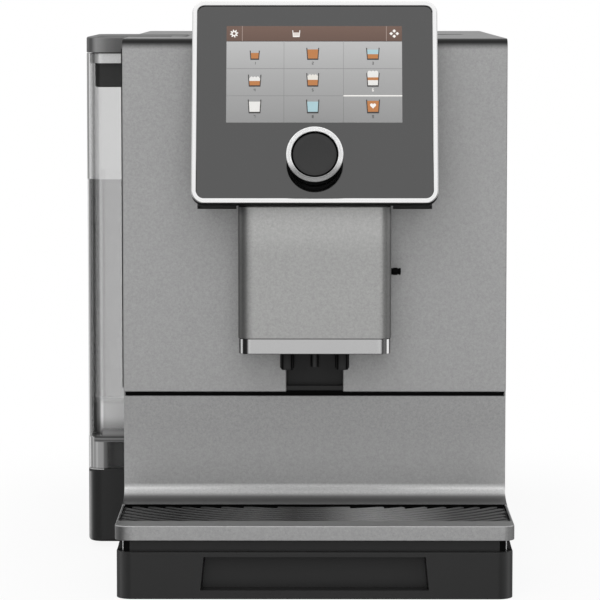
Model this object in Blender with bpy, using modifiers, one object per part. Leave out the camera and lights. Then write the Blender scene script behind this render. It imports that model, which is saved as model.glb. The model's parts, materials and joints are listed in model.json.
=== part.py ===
"""Bean-to-cup coffee machine, modelled piece by piece.

Metres, +Z up. The pieces are drawn in the machine's own frame: X runs to the right from the middle
of the body, Y runs back from the front panel's face, Z runs up from the surface it stands on. One
empty carries that frame to the origin, which lies under the middle of the whole machine.
"""
import math

import bmesh
import bpy
from mathutils import Matrix, Vector

# Fits, cuts and roundings shared by every piece
FIT = 0.0003
RUN = 0.0006
OVERRUN = 0.002
WELD = 0.00001
ROUND_STEPS = 3
TURN_STEPS = 28

# Body and its panels
BODY_WIDTH = 0.250
BODY_DEPTH = 0.376
BODY_HEIGHT = 0.347
PANEL_WALL = 0.003
TOP_FILLET = 0.0055
TOP_WRAP = 0.020
PANEL_UNDERSIDE = 0.0040
CHASSIS_UNDERSIDE = 0.0035
CHASSIS_WALL = 0.003
FOOT_RADIUS = 0.011
FOOT_INSET = 0.024
PANEL_GAP_LOW = 0.1143
PANEL_GAP = 0.0023
VENT_COUNT = 7
VENT_WIDTH = 0.060
VENT_HEIGHT = 0.004
VENT_PITCH = 0.009
VENT_DROP = 0.112

# Drip drawer: swept front, lip frame and tray
LIP_REACH = 0.119
LIP_SIDE_INSET = 0.0005
LIP_TOP = 0.0468
LIP_HEIGHT = 0.0093
LIP_CORNER = 0.007
LIP_RIM = 0.0195
SIDE_RIM = 0.0014
GRILLE_LEDGE = 0.003
SWEEP_HEIGHT = 0.0095
SWEEP_DEPTH = 0.0295
SWEEP_STEPS = 6
BACK_RIM = 0.003
GRILLE_SINK = 0.0008
GRILLE_WALL = 0.0025
GRILLE_SLOTS = 13
GRILLE_SLOT_SHARE = 0.35
GRILLE_END_SHARE = 0.08
TRAY_SIDE_INSET = 0.00075
TRAY_UNDERSIDE = 0.0018
TRAY_BLOCK_TOP = 0.0300
TRAY_SETBACK = 0.0015
TRAY_CORNER = 0.010
NECK_SETBACK = 0.005
NECK_CORNER = 0.002
BAY_SIDE_GAP = 0.0024
BAY_TRAY_GAP = 0.006
TRAY_WALL = 0.003
TRAY_FRONT_WALL = 0.016
TRAY_FLOOR = 0.003
GRIP_WIDTH = 0.1428
GRIP_SLANT = 0.00205
GRIP_TOP = 0.0270
GRIP_LOW = 0.0060
GRIP_DEPTH = 0.012
GROUNDS_SIDE_GAP = 0.015
GROUNDS_FRONT = 0.012
GROUNDS_BACK_GAP = 0.007
GROUNDS_LIFT = 0.012
GROUNDS_ABOVE = 0.0014
GROUNDS_WALL = 0.002
GROUNDS_CORNER = 0.008

# Drawer bay inside the body
BAY_WALL = 0.0025

# Display unit, drawn in its own tilted frame: X right, Y into the unit, Z up its face
DISPLAY_TILT = math.radians(17.6)
DISPLAY_REACH = 0.070
DISPLAY_DROP = 0.1029
DISPLAY_WIDTH = 0.157
DISPLAY_HEIGHT = 0.1337
DISPLAY_CORNER = 0.008
RIM_WIDTH = 0.0034
RIM_DEPTH = 0.0045
GLASS_SINK = 0.0005
GLASS_WALL = 0.003
HOUSING_INSET = 0.0040
HOUSING_LOW_INSET = 0.0004
HOUSING_BACK = 0.0150
BRACKET_RISE = 0.0009
BRACKET_DROP = 0.007
BRACKET_POCKET_CLEARANCE = 0.003
RELIEF_DEPTH = 0.0065
RELIEF_RISE = 0.0045
RELIEF_CLEARANCE = 0.0006
KNOB_HEIGHT_ON_FACE = 0.029
KNOB_RADIUS = 0.0172
KNOB_RING_RADIUS = 0.0180
KNOB_RING_BORE = 0.0144
KNOB_STAND = 0.014
KNOB_RING_DEPTH = 0.003
KNOB_DISH = 0.0012
KNOB_TRAVEL = 0.0015
KNOB_SHAFT_RADIUS = 0.003
KNOB_SHAFT_DEPTH = 0.0085
KNOB_BORE_FROM_TOP = 0.006

# Coffee spout and its guide
SPOUT_WIDTH = 0.098
SPOUT_FRONT = 0.0445
SPOUT_DISPLAY_GAP = 0.0031
SPOUT_HEIGHT = 0.085
SPOUT_CORNER = 0.0065
SPOUT_WALL = 0.0025
SPOUT_PANEL_CLEARANCE = 0.0012
TRIM_HEIGHT = 0.0097
TRIM_INSET = 0.0005
TRIM_WALL = 0.002
SPOUT_UP = 0.030
CARRIAGE_FLOOR = 0.008
COLUMN_DEPTH = 0.0125
NECK_LOW_MARGIN = 0.009
NECK_TOP_MARGIN = 0.006
CHANNEL_WIDTH = 0.037
CHANNEL_DEPTH = 0.010
RAIL_WALL = 0.0025
RAIL_FLANGE = 0.003
NOZZLE_SPACING = 0.0355
NOZZLE_RADIUS = 0.0046
NOZZLE_BORE = 0.0025
NOZZLE_BELOW = 0.012
NOZZLE_REACH = 0.0245
NOZZLE_ABOVE = 0.005
CENTRE_NOZZLE_RADIUS = 0.003
CENTRE_NOZZLE_BELOW = 0.010
MILK_RADIUS = 0.0024
MILK_LENGTH = 0.0063
MILK_DROP = 0.0435
MILK_REACH = 0.022

# Water tank at the left side
TANK_OVERHANG = 0.029
TANK_WIDTH = 0.0645
TANK_LENGTH = 0.135
TANK_BACK_GAP = 0.158
TANK_WALL = 0.002
TANK_CORNER = 0.010
TANK_DROP = 0.011
TANK_FLOOR_TOP = 0.0754
TANK_FLOOR = 0.002
TANK_BASE_TOP = 0.054
TANK_BASE_LOW = 0.004
TANK_BOSS_MARGIN = 0.011
TANK_BOSS_TOP = 0.0715
TANK_VALVE_INSET = 0.033
TANK_VALVE_RADIUS = 0.0055
TANK_VALVE_HEAD = 0.009
TANK_VALVE_HEAD_WALL = 0.0018
TANK_VALVE_STEM = 0.013
TANK_SOCKET_RADIUS = 0.0075
RECESS_SIDE_CLEARANCE = 0.003
RECESS_END_CLEARANCE = 0.0035
LID_HEIGHT = 0.0106
LID_OVERHANG = 0.0003
LID_GRIP_LENGTH = 0.033
LID_GRIP_FRONT = 0.009
LID_GRIP_DEPTH = 0.0235
LID_GRIP_MARGIN = 0.0035
LID_GRIP_WALL = 0.002
LID_GRIP_CORNER = 0.004

# Bean hopper, powder chute and their lids, set into the top cover
HOPPER_SIDE_GAP = 0.0065
HOPPER_BACK_GAP = 0.046
HOPPER_WIDTH = 0.130
HOPPER_LENGTH = 0.150
HOPPER_STRAIGHT = 0.039
HOPPER_THROAT = 0.038
HOPPER_THROAT_DEPTH = 0.0101
HOPPER_DEPTH = 0.0833
HOPPER_WALL = 0.0025
FLANGE_OUT = 0.003
FLANGE_IN = 0.0035
CHUTE_SIDE_INSET = 0.026
CHUTE_FRONT_INSET = 0.021
CHUTE_WIDTH = 0.036
CHUTE_LENGTH = 0.028
CHUTE_WALL = 0.0015

# Grinder
SHELF_WALL = 0.0035
SHELF_WIDTH = 0.080
MOTOR_RADIUS = 0.031
MOTOR_HEIGHT = 0.0722
MOTOR_NECK_RADIUS = 0.022
MOTOR_NECK = 0.006
ROTOR_SHAFT_RADIUS = 0.004
ROTOR_SHAFT_DEPTH = 0.012
SHAFT_HOLE_RADIUS = 0.006
GRINDER_RADIUS = 0.038
GRINDER_BORE = 0.0334
GRINDER_HEIGHT = 0.0612
GRINDER_FLOOR = 0.0032
LOWER_BURR_RADIUS = 0.030
LOWER_BURR_SHOULDER = 0.024
LOWER_BURR_TIP = 0.012
LOWER_BURR_RISES = (0.0015, 0.0105, 0.0165, 0.0325)
UPPER_BURR_RISE = 0.0170
UPPER_BURR_HEIGHT = 0.0245
UPPER_BURR_MOUTH = 0.0262
UPPER_BURR_THROAT = 0.018
ADJUSTER_RADIUS = 0.040
ADJUSTER_WALL = 0.004
ADJUSTER_ARM = 0.075
ADJUSTER_ARM_WIDTH = 0.012

# Brew unit
BREW_WIDTH = 0.082
BREW_SIDE_GAP = 0.010
BREW_BACK_GAP = 0.104
BREW_DEPTH = 0.104
BREW_TRAY_GAP = 0.018
BREW_TOP = 0.196
BREW_BASE = 0.010
BREW_ROOF = 0.006
BREW_SIDE = 0.003
BREW_SHELF_LOW = 0.068
BREW_SHELF = 0.007
CYLINDER_INSET = 0.034
CYLINDER_RADIUS = 0.022
CYLINDER_BORE = 0.0192
CYLINDER_HEIGHT = 0.050
CYLINDER_FLOOR = 0.005
SPINDLE_INSET = 0.015
SPINDLE_RADIUS = 0.004
PISTON_RADIUS = 0.0185
PISTON_HEAD = 0.010
PISTON_ABOVE = 0.003
PISTON_ROD_RADIUS = 0.006
PISTON_ROD = 0.027
CARRIER_WALL = 0.008
CARRIER_WIDTH = 0.024
CARRIER_END = 0.010
BREW_MOTOR_RADIUS = 0.017
BREW_MOTOR_HEIGHT = 0.044
SPINDLE_IN_MOTOR = 0.006

# Water circuit and electrics
PUMP_INSET = 0.021
PUMP_BACK_GAP = 0.032
PUMP_LENGTH = 0.086
PUMP_RADIUS = 0.0165
PUMP_AXIS_HEIGHT = 0.033
PUMP_NOSE_RADIUS = 0.007
PUMP_NOSE = 0.012
PUMP_FOOT_WIDTH = 0.022
PUMP_FOOT_LENGTH = 0.030
METER_GAP = 0.0075
METER_RADIUS = 0.014
METER_BORE = 0.0115
METER_HEIGHT = 0.016
METER_FLOOR = 0.004
IMPELLER_RADIUS = 0.0100
IMPELLER_HUB = 0.003
IMPELLER_HEIGHT = 0.007
IMPELLER_BLADES = 4
IMPELLER_BLADE = 0.0014
BOILER_SIDE_GAP = 0.0385
BOILER_BACK_GAP = 0.031
BOILER_WIDTH = 0.060
BOILER_DEPTH = 0.055
BOILER_HEIGHT = 0.078
BOILER_ROUND = 0.008
HOSE_RADIUS = 0.0028
SUCTION_HEIGHT = 0.0160
HOSE_HOLE_RADIUS = 0.0045
BREW_HOSE_HEIGHT = 0.050
BREW_HOSE_SIDE_SHARE = 0.5
BOARD_SIDE_GAP = 0.012
BOARD_WIDTH = 0.090
BOARD_LOW = 0.070
BOARD_HEIGHT = 0.120
BOARD_WALL = 0.0016
BOARD_STANDOFF = 0.018
STANDOFF_RADIUS = 0.004
STANDOFF_INSET = 0.010
INLET_SIDE_GAP = 0.010
INLET_WIDTH = 0.066
INLET_LOW = 0.016
INLET_HEIGHT = 0.036
INLET_DEPTH = 0.028
INLET_FACE_SINK = 0.0002
SOCKET_WIDTH = 0.0265
SOCKET_HEIGHT = 0.0190
SOCKET_DEPTH = 0.020
INLET_MARGIN = 0.006
BLADE_WIDTH = 0.0022
BLADE_HEIGHT = 0.0050
BLADE_LENGTH = 0.014
BLADE_SPACING = 0.007
ROCKER_WIDTH = 0.013
ROCKER_HEIGHT = 0.020
ROCKER_DEPTH = 0.007
ROCKER_TILT = math.radians(7.0)
ROCKER_WELL_DEPTH = 0.013
ROCKER_WELL_CLEARANCE = 0.0022

# Service cover in the right side panel
COVER_BREW_GAP = 0.018
COVER_LENGTH = 0.140
COVER_LOW = 0.020
COVER_HEIGHT = 0.195

# Places worked out from the sizes above
BODY_RIGHT = BODY_WIDTH / 2
BODY_LEFT = -BODY_WIDTH / 2
INSIDE_RIGHT = BODY_RIGHT - PANEL_WALL
INSIDE_LEFT = BODY_LEFT + PANEL_WALL
COVER_UNDERSIDE = BODY_HEIGHT - PANEL_WALL
SIDE_FRONT = PANEL_WALL + FIT
SIDE_BACK = BODY_DEPTH - PANEL_WALL - FIT
SIDE_TOP = COVER_UNDERSIDE - FIT
CHASSIS_TOP = CHASSIS_UNDERSIDE + CHASSIS_WALL
PANEL_LOW = PANEL_GAP_LOW + PANEL_GAP
REAR_INSIDE = BODY_DEPTH - PANEL_WALL
TANK_LEFT = BODY_LEFT - TANK_OVERHANG
TANK_RIGHT = TANK_LEFT + TANK_WIDTH
TANK_BACK = BODY_DEPTH - TANK_BACK_GAP
TANK_FRONT = TANK_BACK - TANK_LENGTH
RECESS_X = TANK_RIGHT + RECESS_SIDE_CLEARANCE
RECESS_FOLD = RECESS_X + PANEL_WALL
RECESS_FRONT = TANK_FRONT - RECESS_END_CLEARANCE
RECESS_BACK = TANK_BACK + RECESS_END_CLEARANCE
BREW_BACK = BODY_DEPTH - BREW_BACK_GAP
BREW_FRONT = BREW_BACK - BREW_DEPTH
BREW_RIGHT = INSIDE_RIGHT - BREW_SIDE_GAP
BREW_LEFT = BREW_RIGHT - BREW_WIDTH
LIP_WIDTH = BODY_WIDTH - LIP_SIDE_INSET * 2
TRAY_WIDTH = LIP_WIDTH - TRAY_SIDE_INSET * 2
TRAY_REAR_HALF = -RECESS_FOLD - BAY_WALL - RUN - BAY_SIDE_GAP
TRAY_BACK = BREW_FRONT - BREW_TRAY_GAP
BAY_BACK = TRAY_BACK + BAY_TRAY_GAP
LIP_LOW = LIP_TOP - LIP_HEIGHT
GRILLE_TOP = LIP_TOP - GRILLE_SINK
GRILLE_LOW = GRILLE_TOP - GRILLE_WALL
GRILLE_HALF = LIP_WIDTH / 2 - SIDE_RIM
GRILLE_FRONT = -LIP_REACH + LIP_RIM
GRILLE_BACK = -SWEEP_DEPTH - BACK_RIM
TRAY_TOP = LIP_LOW - FIT
TRAY_REAR_LOW = CHASSIS_TOP + RUN
TRAY_FLOOR_TOP = TRAY_REAR_LOW + TRAY_FLOOR
BAY_HALF = TRAY_REAR_HALF + RUN
BAY_ROOF_LOW = PANEL_GAP_LOW + RUN
GROUNDS_HALF = TRAY_REAR_HALF - TRAY_WALL - GROUNDS_SIDE_GAP
GROUNDS_BACK = TRAY_BACK - TRAY_WALL - GROUNDS_BACK_GAP
GROUNDS_TOP = BAY_ROOF_LOW - GROUNDS_LIFT - GROUNDS_ABOVE
TANK_TOP = BODY_HEIGHT - TANK_DROP
TANK_LOW = TANK_BASE_TOP + FIT
TANK_MIDDLE = (TANK_LEFT + TANK_RIGHT) / 2
VALVE_Y = TANK_BACK - TANK_VALVE_INSET
LID_LOW = TANK_TOP + FIT
LID_TOP = LID_LOW + LID_HEIGHT
LID_BACK = TANK_BACK + LID_OVERHANG
DISPLAY_LOW = BODY_HEIGHT - DISPLAY_DROP
HOUSING_FRONT = RIM_DEPTH + FIT
GLASS_BACK = GLASS_SINK + GLASS_WALL
KNOB_TOP = GLASS_SINK - KNOB_STAND
KNOB_BACK = GLASS_SINK - KNOB_TRAVEL - RUN
SPOUT_TOP = DISPLAY_LOW - SPOUT_DISPLAY_GAP
SPOUT_LOW = SPOUT_TOP - SPOUT_HEIGHT
TRIM_TOP = SPOUT_LOW - FIT
TRIM_LOW = TRIM_TOP - TRIM_HEIGHT
CHANNEL_TOP = SPOUT_TOP - NECK_TOP_MARGIN + SPOUT_UP + RUN + OVERRUN
NOZZLE_LOW = TRIM_LOW - NOZZLE_BELOW
HOPPER_LOW = SIDE_TOP - HOPPER_DEPTH
ADJUSTER_TOP = HOPPER_LOW - RUN
ADJUSTER_LOW = ADJUSTER_TOP - ADJUSTER_WALL
GRINDER_TOP = ADJUSTER_LOW - FIT
GRINDER_LOW = GRINDER_TOP - GRINDER_HEIGHT
GRINDER_X = RECESS_FOLD + HOPPER_SIDE_GAP + HOPPER_WIDTH / 2
GRINDER_Y = BODY_DEPTH - HOPPER_BACK_GAP - HOPPER_LENGTH / 2
SHELF_TOP = GRINDER_LOW - FIT
SHELF_LOW = SHELF_TOP - SHELF_WALL
MOTOR_TOP = SHELF_LOW - FIT
MOTOR_LOW = MOTOR_TOP - MOTOR_HEIGHT
CHUTE_X = BREW_RIGHT - CHUTE_SIDE_INSET
CHUTE_Y = BREW_FRONT + CHUTE_FRONT_INSET
BREW_LOW = CHASSIS_TOP + FIT
CYLINDER_X = BREW_RIGHT - CYLINDER_INSET
SPINDLE_X = BREW_LEFT + SPINDLE_INSET
BREW_Y = BREW_FRONT + BREW_DEPTH / 2
BREW_SHELF_TOP = BREW_SHELF_LOW + BREW_SHELF
CYLINDER_LOW = BREW_SHELF_TOP + FIT
CYLINDER_TOP = CYLINDER_LOW + CYLINDER_HEIGHT
PISTON_LOW = CYLINDER_TOP + PISTON_ABOVE
CARRIER_LOW = PISTON_LOW + PISTON_HEAD + PISTON_ROD
METER_LOW = CHASSIS_TOP + FIT
METER_X = RECESS_FOLD + METER_GAP + METER_RADIUS
METER_Y = VALVE_Y
PUMP_X = INSIDE_LEFT + PUMP_INSET
PUMP_BACK = BODY_DEPTH - PUMP_BACK_GAP
PUMP_FRONT = PUMP_BACK - PUMP_LENGTH
BOILER_LOW = CHASSIS_TOP + FIT
BOILER_LEFT = RECESS_FOLD + BOILER_SIDE_GAP
BOILER_BACK = BODY_DEPTH - BOILER_BACK_GAP
BOILER_FRONT = BOILER_BACK - BOILER_DEPTH
BOARD_LEFT = INSIDE_RIGHT - BOARD_SIDE_GAP - BOARD_WIDTH
INLET_LEFT = INSIDE_RIGHT - INLET_SIDE_GAP - INLET_WIDTH
COVER_FRONT = BREW_FRONT - COVER_BREW_GAP
VENT_LOW = BODY_HEIGHT - VENT_DROP

# Finishes: colour, roughness, metallic
METALLIC_GREY = ("metallic_grey", (0.34, 0.34, 0.335), 0.42, 0.55)
DARK_PLASTIC = ("dark_plastic", (0.030, 0.030, 0.030), 0.45, 0.0)
GLOSS_BLACK = ("gloss_black", (0.012, 0.012, 0.012), 0.12, 0.0)
CHROME = ("chrome", (0.82, 0.82, 0.83), 0.10, 1.0)
DISPLAY_GLASS = ("display_glass", (0.10, 0.10, 0.10), 0.06, 0.0)
CLEAR_PLASTIC = ("clear_plastic", (0.55, 0.56, 0.57), 0.08, 0.0)
LID_GREY = ("lid_grey", (0.20, 0.20, 0.20), 0.40, 0.0)
RUBBER = ("rubber", (0.02, 0.02, 0.02), 0.80, 0.0)
STEEL = ("steel", (0.55, 0.55, 0.56), 0.30, 1.0)
WHITE_PLASTIC = ("white_plastic", (0.75, 0.75, 0.73), 0.45, 0.0)
ALUMINIUM = ("aluminium", (0.66, 0.66, 0.67), 0.45, 1.0)
BOARD_GREEN = ("board_green", (0.03, 0.16, 0.07), 0.50, 0.0)
SILICONE = ("silicone", (0.62, 0.60, 0.55), 0.55, 0.0)


def clear_scene():
    """Removes the objects that Blender starts with."""
    for obj in list(bpy.data.objects):
        bpy.data.objects.remove(obj, do_unlink=True)


def new_collection(name):
    """A collection linked to the scene."""
    collection = bpy.data.collections.new(name)
    bpy.context.scene.collection.children.link(collection)
    return collection


def material(finish):
    """A Principled material with a finish's colour, roughness and metallic value, made once."""
    name, colour, roughness, metallic = finish
    found = bpy.data.materials.get(name)
    if found:
        return found
    made = bpy.data.materials.new(name)
    made.use_nodes = True
    shader = made.node_tree.nodes["Principled BSDF"]
    shader.inputs["Base Color"].default_value = (*colour, 1)
    shader.inputs["Roughness"].default_value = roughness
    shader.inputs["Metallic"].default_value = metallic
    return made


clear_scene()
PARTS = new_collection("bean_to_cup_coffee_machine")
CUTTERS = new_collection("cutters")


def new_frame(name, location, tilt=0.0, parent=None):
    """An empty that carries pieces: the machine's frame or the tilted display's."""
    empty = bpy.data.objects.new(name, None)
    PARTS.objects.link(empty)
    empty.parent = parent
    empty.location = location
    empty.rotation_euler = (-tilt, 0, 0)
    return empty


MACHINE = new_frame("machine_frame", (TANK_OVERHANG / 2, (LIP_REACH - BODY_DEPTH) / 2, 0))
DISPLAY = new_frame("display_frame", (0, -DISPLAY_REACH, DISPLAY_LOW), DISPLAY_TILT, MACHINE)


def mesh_of(bm, name):
    """The mesh of a finished bmesh, with its faces out."""
    bmesh.ops.recalc_face_normals(bm, faces=bm.faces)
    mesh = bpy.data.meshes.new(name)
    bm.to_mesh(mesh)
    bm.free()
    return mesh


def round_edges(bm, radius, chosen, steps=ROUND_STEPS):
    """Rounds the edges whose middle and direction the function chosen accepts."""
    edges = []
    for edge in bm.edges:
        start, end = edge.verts[0].co, edge.verts[1].co
        if chosen((start + end) / 2, (end - start).normalized()):
            edges.append(edge)
    bmesh.ops.bevel(bm, geom=edges, offset=radius, offset_type="OFFSET", segments=steps,
                    profile=0.5, affect="EDGES", clamp_overlap=True)


def box_mesh(low, high, along=None, radius=0.0, where=None):
    """A box between two corners, with the edges along one axis rounded where asked."""
    bm = bmesh.new()
    bmesh.ops.create_cube(bm, size=1)
    for vert in bm.verts:
        vert.co = Vector([(a + b) / 2 + (b - a) * c for a, b, c in zip(low, high, vert.co)])
    if radius:
        axis = "XYZ".index(along)
        round_edges(bm, radius, lambda middle, way: abs(way[axis]) > 0.9
                    and (where is None or where(middle)))
    return mesh_of(bm, "box")


PLANES = {
    "XY": Matrix(((1, 0, 0), (0, 1, 0), (0, 0, 1))),
    "YZ": Matrix(((0, 0, 1), (1, 0, 0), (0, 1, 0))),
    "XZ": Matrix(((1, 0, 0), (0, 0, -1), (0, 1, 0))),
}


def outline_mesh(plane, outlines, low, high):
    """A flat shape drawn in a plane and as thick as from low to high; a second outline is a hole."""
    curve = bpy.data.curves.new("outline", "CURVE")
    curve.dimensions = "2D"
    curve.fill_mode = "BOTH"
    curve.render_resolution_u = 0
    curve.extrude = (high - low) / 2
    for outline in outlines:
        spline = curve.splines.new("POLY")
        spline.points.add(len(outline) - 1)
        spline.use_cyclic_u = True
        for point, (u, v) in zip(spline.points, outline):
            point.co = (u, v, 0, 1)
    turned = PLANES[plane]
    sense = -1 if plane == "XZ" else 1
    middle = sense * (low + high) / 2
    return welded_curve(curve, lambda co: turned @ (co + Vector((0, 0, middle))))


def welded_curve(curve, move):
    """A curve object made a closed mesh, each point moved by the function move."""
    holder = bpy.data.objects.new("curve", curve)
    bpy.context.scene.collection.objects.link(holder)
    bpy.context.view_layer.update()
    graph = bpy.context.evaluated_depsgraph_get()
    mesh = bpy.data.meshes.new_from_object(holder.evaluated_get(graph))
    bpy.data.objects.remove(holder, do_unlink=True)
    bm = bmesh.new()
    bm.from_mesh(mesh)
    bmesh.ops.remove_doubles(bm, verts=bm.verts, dist=WELD)
    for vert in bm.verts:
        vert.co = move(vert.co)
    return mesh_of(bm, "curve")


def rounded_mesh(mesh, radius, chosen, steps=ROUND_STEPS):
    """A copy of a mesh with chosen edges rounded."""
    bm = bmesh.new()
    bm.from_mesh(mesh)
    round_edges(bm, radius, chosen, steps)
    return mesh_of(bm, mesh.name)


def hang(name, mesh, finish, frame=None, collection=None):
    """An object for a mesh, in the machine's frame unless another is given."""
    obj = bpy.data.objects.new(name, mesh)
    (collection or PARTS).objects.link(obj)
    obj.parent = frame or MACHINE
    if finish:
        obj.data.materials.append(material(finish))
    return obj


def box(name, low, high, finish, along=None, radius=0.0, where=None, frame=None):
    """A box as a piece."""
    return hang(name, box_mesh(low, high, along, radius, where), finish, frame)


def outline_piece(name, plane, outlines, low, high, finish):
    """A flat or extruded shape as a piece."""
    return hang(name, outline_mesh(plane, outlines, low, high), finish)


def turned(name, profile, finish, place=(0, 0, 0), axis="Z", steps=TURN_STEPS, frame=None):
    """A turned piece: its profile of radius and height runs down the outer side, top to bottom."""
    mesh = bpy.data.meshes.new(name)
    closed = profile[0][0] > 0 and profile[-1][0] > 0
    points = [(radius, 0, height) for radius, height in profile]
    edges = [(i, i + 1) for i in range(len(points) - 1)]
    if closed:
        edges.append((len(points) - 1, 0))
    mesh.from_pydata(points, edges, [])
    obj = hang(name, mesh, finish, frame)
    obj.location = place
    if axis == "Y":
        obj.rotation_euler = (-math.pi / 2, 0, 0)
    if axis == "X":
        obj.rotation_euler = (0, math.pi / 2, 0)
    screw = obj.modifiers.new("turn", "SCREW")
    screw.axis = "Z"
    screw.steps = steps
    screw.render_steps = steps
    screw.use_merge_vertices = True
    screw.merge_threshold = WELD
    screw.use_smooth_shade = True
    return obj


def tube(name, route, radius, finish):
    """A hose whose end stretches are straight and whose middle is a smooth curve."""
    points = [route[0]]
    steps = 4
    for before, start, end, after in zip(route, route[1:], route[2:], route[3:]):
        points += [spline_point(before, start, end, after, step / steps) for step in range(steps)]
    points += route[-2:]
    curve = bpy.data.curves.new(name, "CURVE")
    curve.dimensions = "3D"
    curve.bevel_depth = radius
    curve.bevel_resolution = 2
    curve.render_resolution_u = 0
    curve.use_fill_caps = True
    spline = curve.splines.new("POLY")
    spline.points.add(len(points) - 1)
    for point, place in zip(spline.points, points):
        point.co = (*place, 1)
    return hang(name, welded_curve(curve, lambda co: co), finish)


def spline_point(before, start, end, after, t):
    """A point of the smooth curve that passes through start and end."""
    weights = ((-t + 2 * t ** 2 - t ** 3) / 2, (2 - 5 * t ** 2 + 3 * t ** 3) / 2,
               (t + 4 * t ** 2 - 3 * t ** 3) / 2, (t ** 3 - t ** 2) / 2)
    return tuple(sum(w * p[k] for w, p in zip(weights, (before, start, end, after)))
                 for k in range(3))


def boolean(obj, other, operation):
    """A Boolean modifier whose second shape is kept as a cutter."""
    for collection in list(other.users_collection):
        collection.objects.unlink(other)
    CUTTERS.objects.link(other)
    other.hide_render = True
    other.display_type = "WIRE"
    modifier = obj.modifiers.new(operation.lower(), "BOOLEAN")
    modifier.operation = operation
    modifier.solver = "EXACT"
    modifier.object = other
    return obj


def cut(obj, *cutters):
    """Cuts shapes away from a piece."""
    for cutter in cutters:
        boolean(obj, cutter, "DIFFERENCE")
    return obj


def join(obj, *others):
    """Joins shapes to a piece, so that they are one solid."""
    for other in others:
        boolean(obj, other, "UNION")
    return obj


def drill(place, radius, low, high, axis="Z", frame=None):
    """A round cutter from low to high along an axis through a place."""
    bm = bmesh.new()
    bmesh.ops.create_cone(bm, cap_ends=True, segments=TURN_STEPS, radius1=radius, radius2=radius,
                          depth=high - low)
    middle = (low + high) / 2
    turns = {"Z": Matrix.Identity(4), "Y": Matrix.Rotation(-math.pi / 2, 4, "X"),
             "X": Matrix.Rotation(math.pi / 2, 4, "Y")}
    shift = Vector(place)
    shift["XYZ".index(axis)] = middle
    bmesh.ops.transform(bm, matrix=Matrix.Translation(shift) @ turns[axis], verts=bm.verts)
    return hang("drill", mesh_of(bm, "drill"), None, frame)


def block(low, high, along=None, radius=0.0, where=None, frame=None):
    """A box that serves as a cutter or as a joined shape."""
    return hang("block", box_mesh(low, high, along, radius, where), None, frame)


def set_origin(obj, place):
    """Moves a piece's origin to a place in its frame, without moving its shape."""
    shift = Vector(place)
    obj.data.transform(Matrix.Translation(-shift))
    obj.location = shift
    return obj


def arc(centre, radii, start, end, steps):
    """Points along an elliptical arc, with its ends."""
    return [(centre[0] + radii[0] * math.cos(start + (end - start) * i / steps),
             centre[1] + radii[1] * math.sin(start + (end - start) * i / steps))
            for i in range(steps + 1)]


def rectangle(low, high):
    """The corners of a rectangle between two points."""
    return [(low[0], low[1]), (high[0], low[1]), (high[0], high[1]), (low[0], high[1])]


def funnel(name, centre, rings, wall, finish):
    """A thin-walled funnel: rectangular rings of half width, half length and height, top first."""
    bm = bmesh.new()
    loops = []
    for half_width, half_length, height in rings:
        corners = rectangle((-half_width, -half_length), (half_width, half_length))
        loops.append([bm.verts.new((centre[0] + x, centre[1] + y, height)) for x, y in corners])
    for upper, lower in zip(loops, loops[1:]):
        for i in range(len(upper)):
            j = (i + 1) % len(upper)
            bm.faces.new((upper[i], upper[j], lower[j], lower[i]))
    mesh = bpy.data.meshes.new(name)
    bm.to_mesh(mesh)
    bm.free()
    obj = hang(name, mesh, finish)
    skin = obj.modifiers.new("wall", "SOLIDIFY")
    skin.thickness = wall
    skin.offset = -1
    skin.use_even_offset = True
    return obj


def make_chassis():
    """Floor plate with a notch for the tank's base, and four rubber feet."""
    notch = (RECESS_FOLD, RECESS_FRONT - PANEL_WALL, RECESS_BACK + PANEL_WALL)
    chassis = box("chassis_base", (INSIDE_LEFT + FIT, SIDE_FRONT, CHASSIS_UNDERSIDE),
                  (INSIDE_RIGHT - FIT, SIDE_BACK, CHASSIS_TOP), DARK_PLASTIC)
    cut(chassis, block((INSIDE_LEFT - OVERRUN, notch[1], CHASSIS_UNDERSIDE - OVERRUN),
                       (notch[0] + FIT, notch[2], CHASSIS_TOP + OVERRUN)))
    places = {"front_left": (-1, SIDE_FRONT + FOOT_INSET), "front_right": (1, SIDE_FRONT + FOOT_INSET),
              "rear_left": (-1, SIDE_BACK - FOOT_INSET), "rear_right": (1, SIDE_BACK - FOOT_INSET)}
    for corner, (side, y) in places.items():
        x = side * (INSIDE_RIGHT - FOOT_INSET)
        turned("foot_" + corner, [(0, CHASSIS_UNDERSIDE - FIT), (FOOT_RADIUS, CHASSIS_UNDERSIDE - FIT),
                                  (FOOT_RADIUS, 0), (0, 0)], RUBBER, (x, y, 0))


def make_front_panel():
    """Upper front panel, whose top edge rounds back over the body, with the spout's slot."""
    crown = arc((TOP_FILLET, BODY_HEIGHT - TOP_FILLET), (TOP_FILLET, TOP_FILLET),
                math.pi, math.pi / 2, ROUND_STEPS + 1)
    section = [(0, PANEL_LOW), *crown, (TOP_WRAP, BODY_HEIGHT), (TOP_WRAP, COVER_UNDERSIDE),
               (PANEL_WALL, COVER_UNDERSIDE), (PANEL_WALL, PANEL_LOW)]
    panel = outline_piece("front_panel", "YZ", [section], BODY_LEFT, BODY_RIGHT, METALLIC_GREY)
    half = CHANNEL_WIDTH / 2
    cut(panel, block((-half, -OVERRUN, PANEL_LOW - OVERRUN), (half, PANEL_WALL + OVERRUN, CHANNEL_TOP)))


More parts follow.
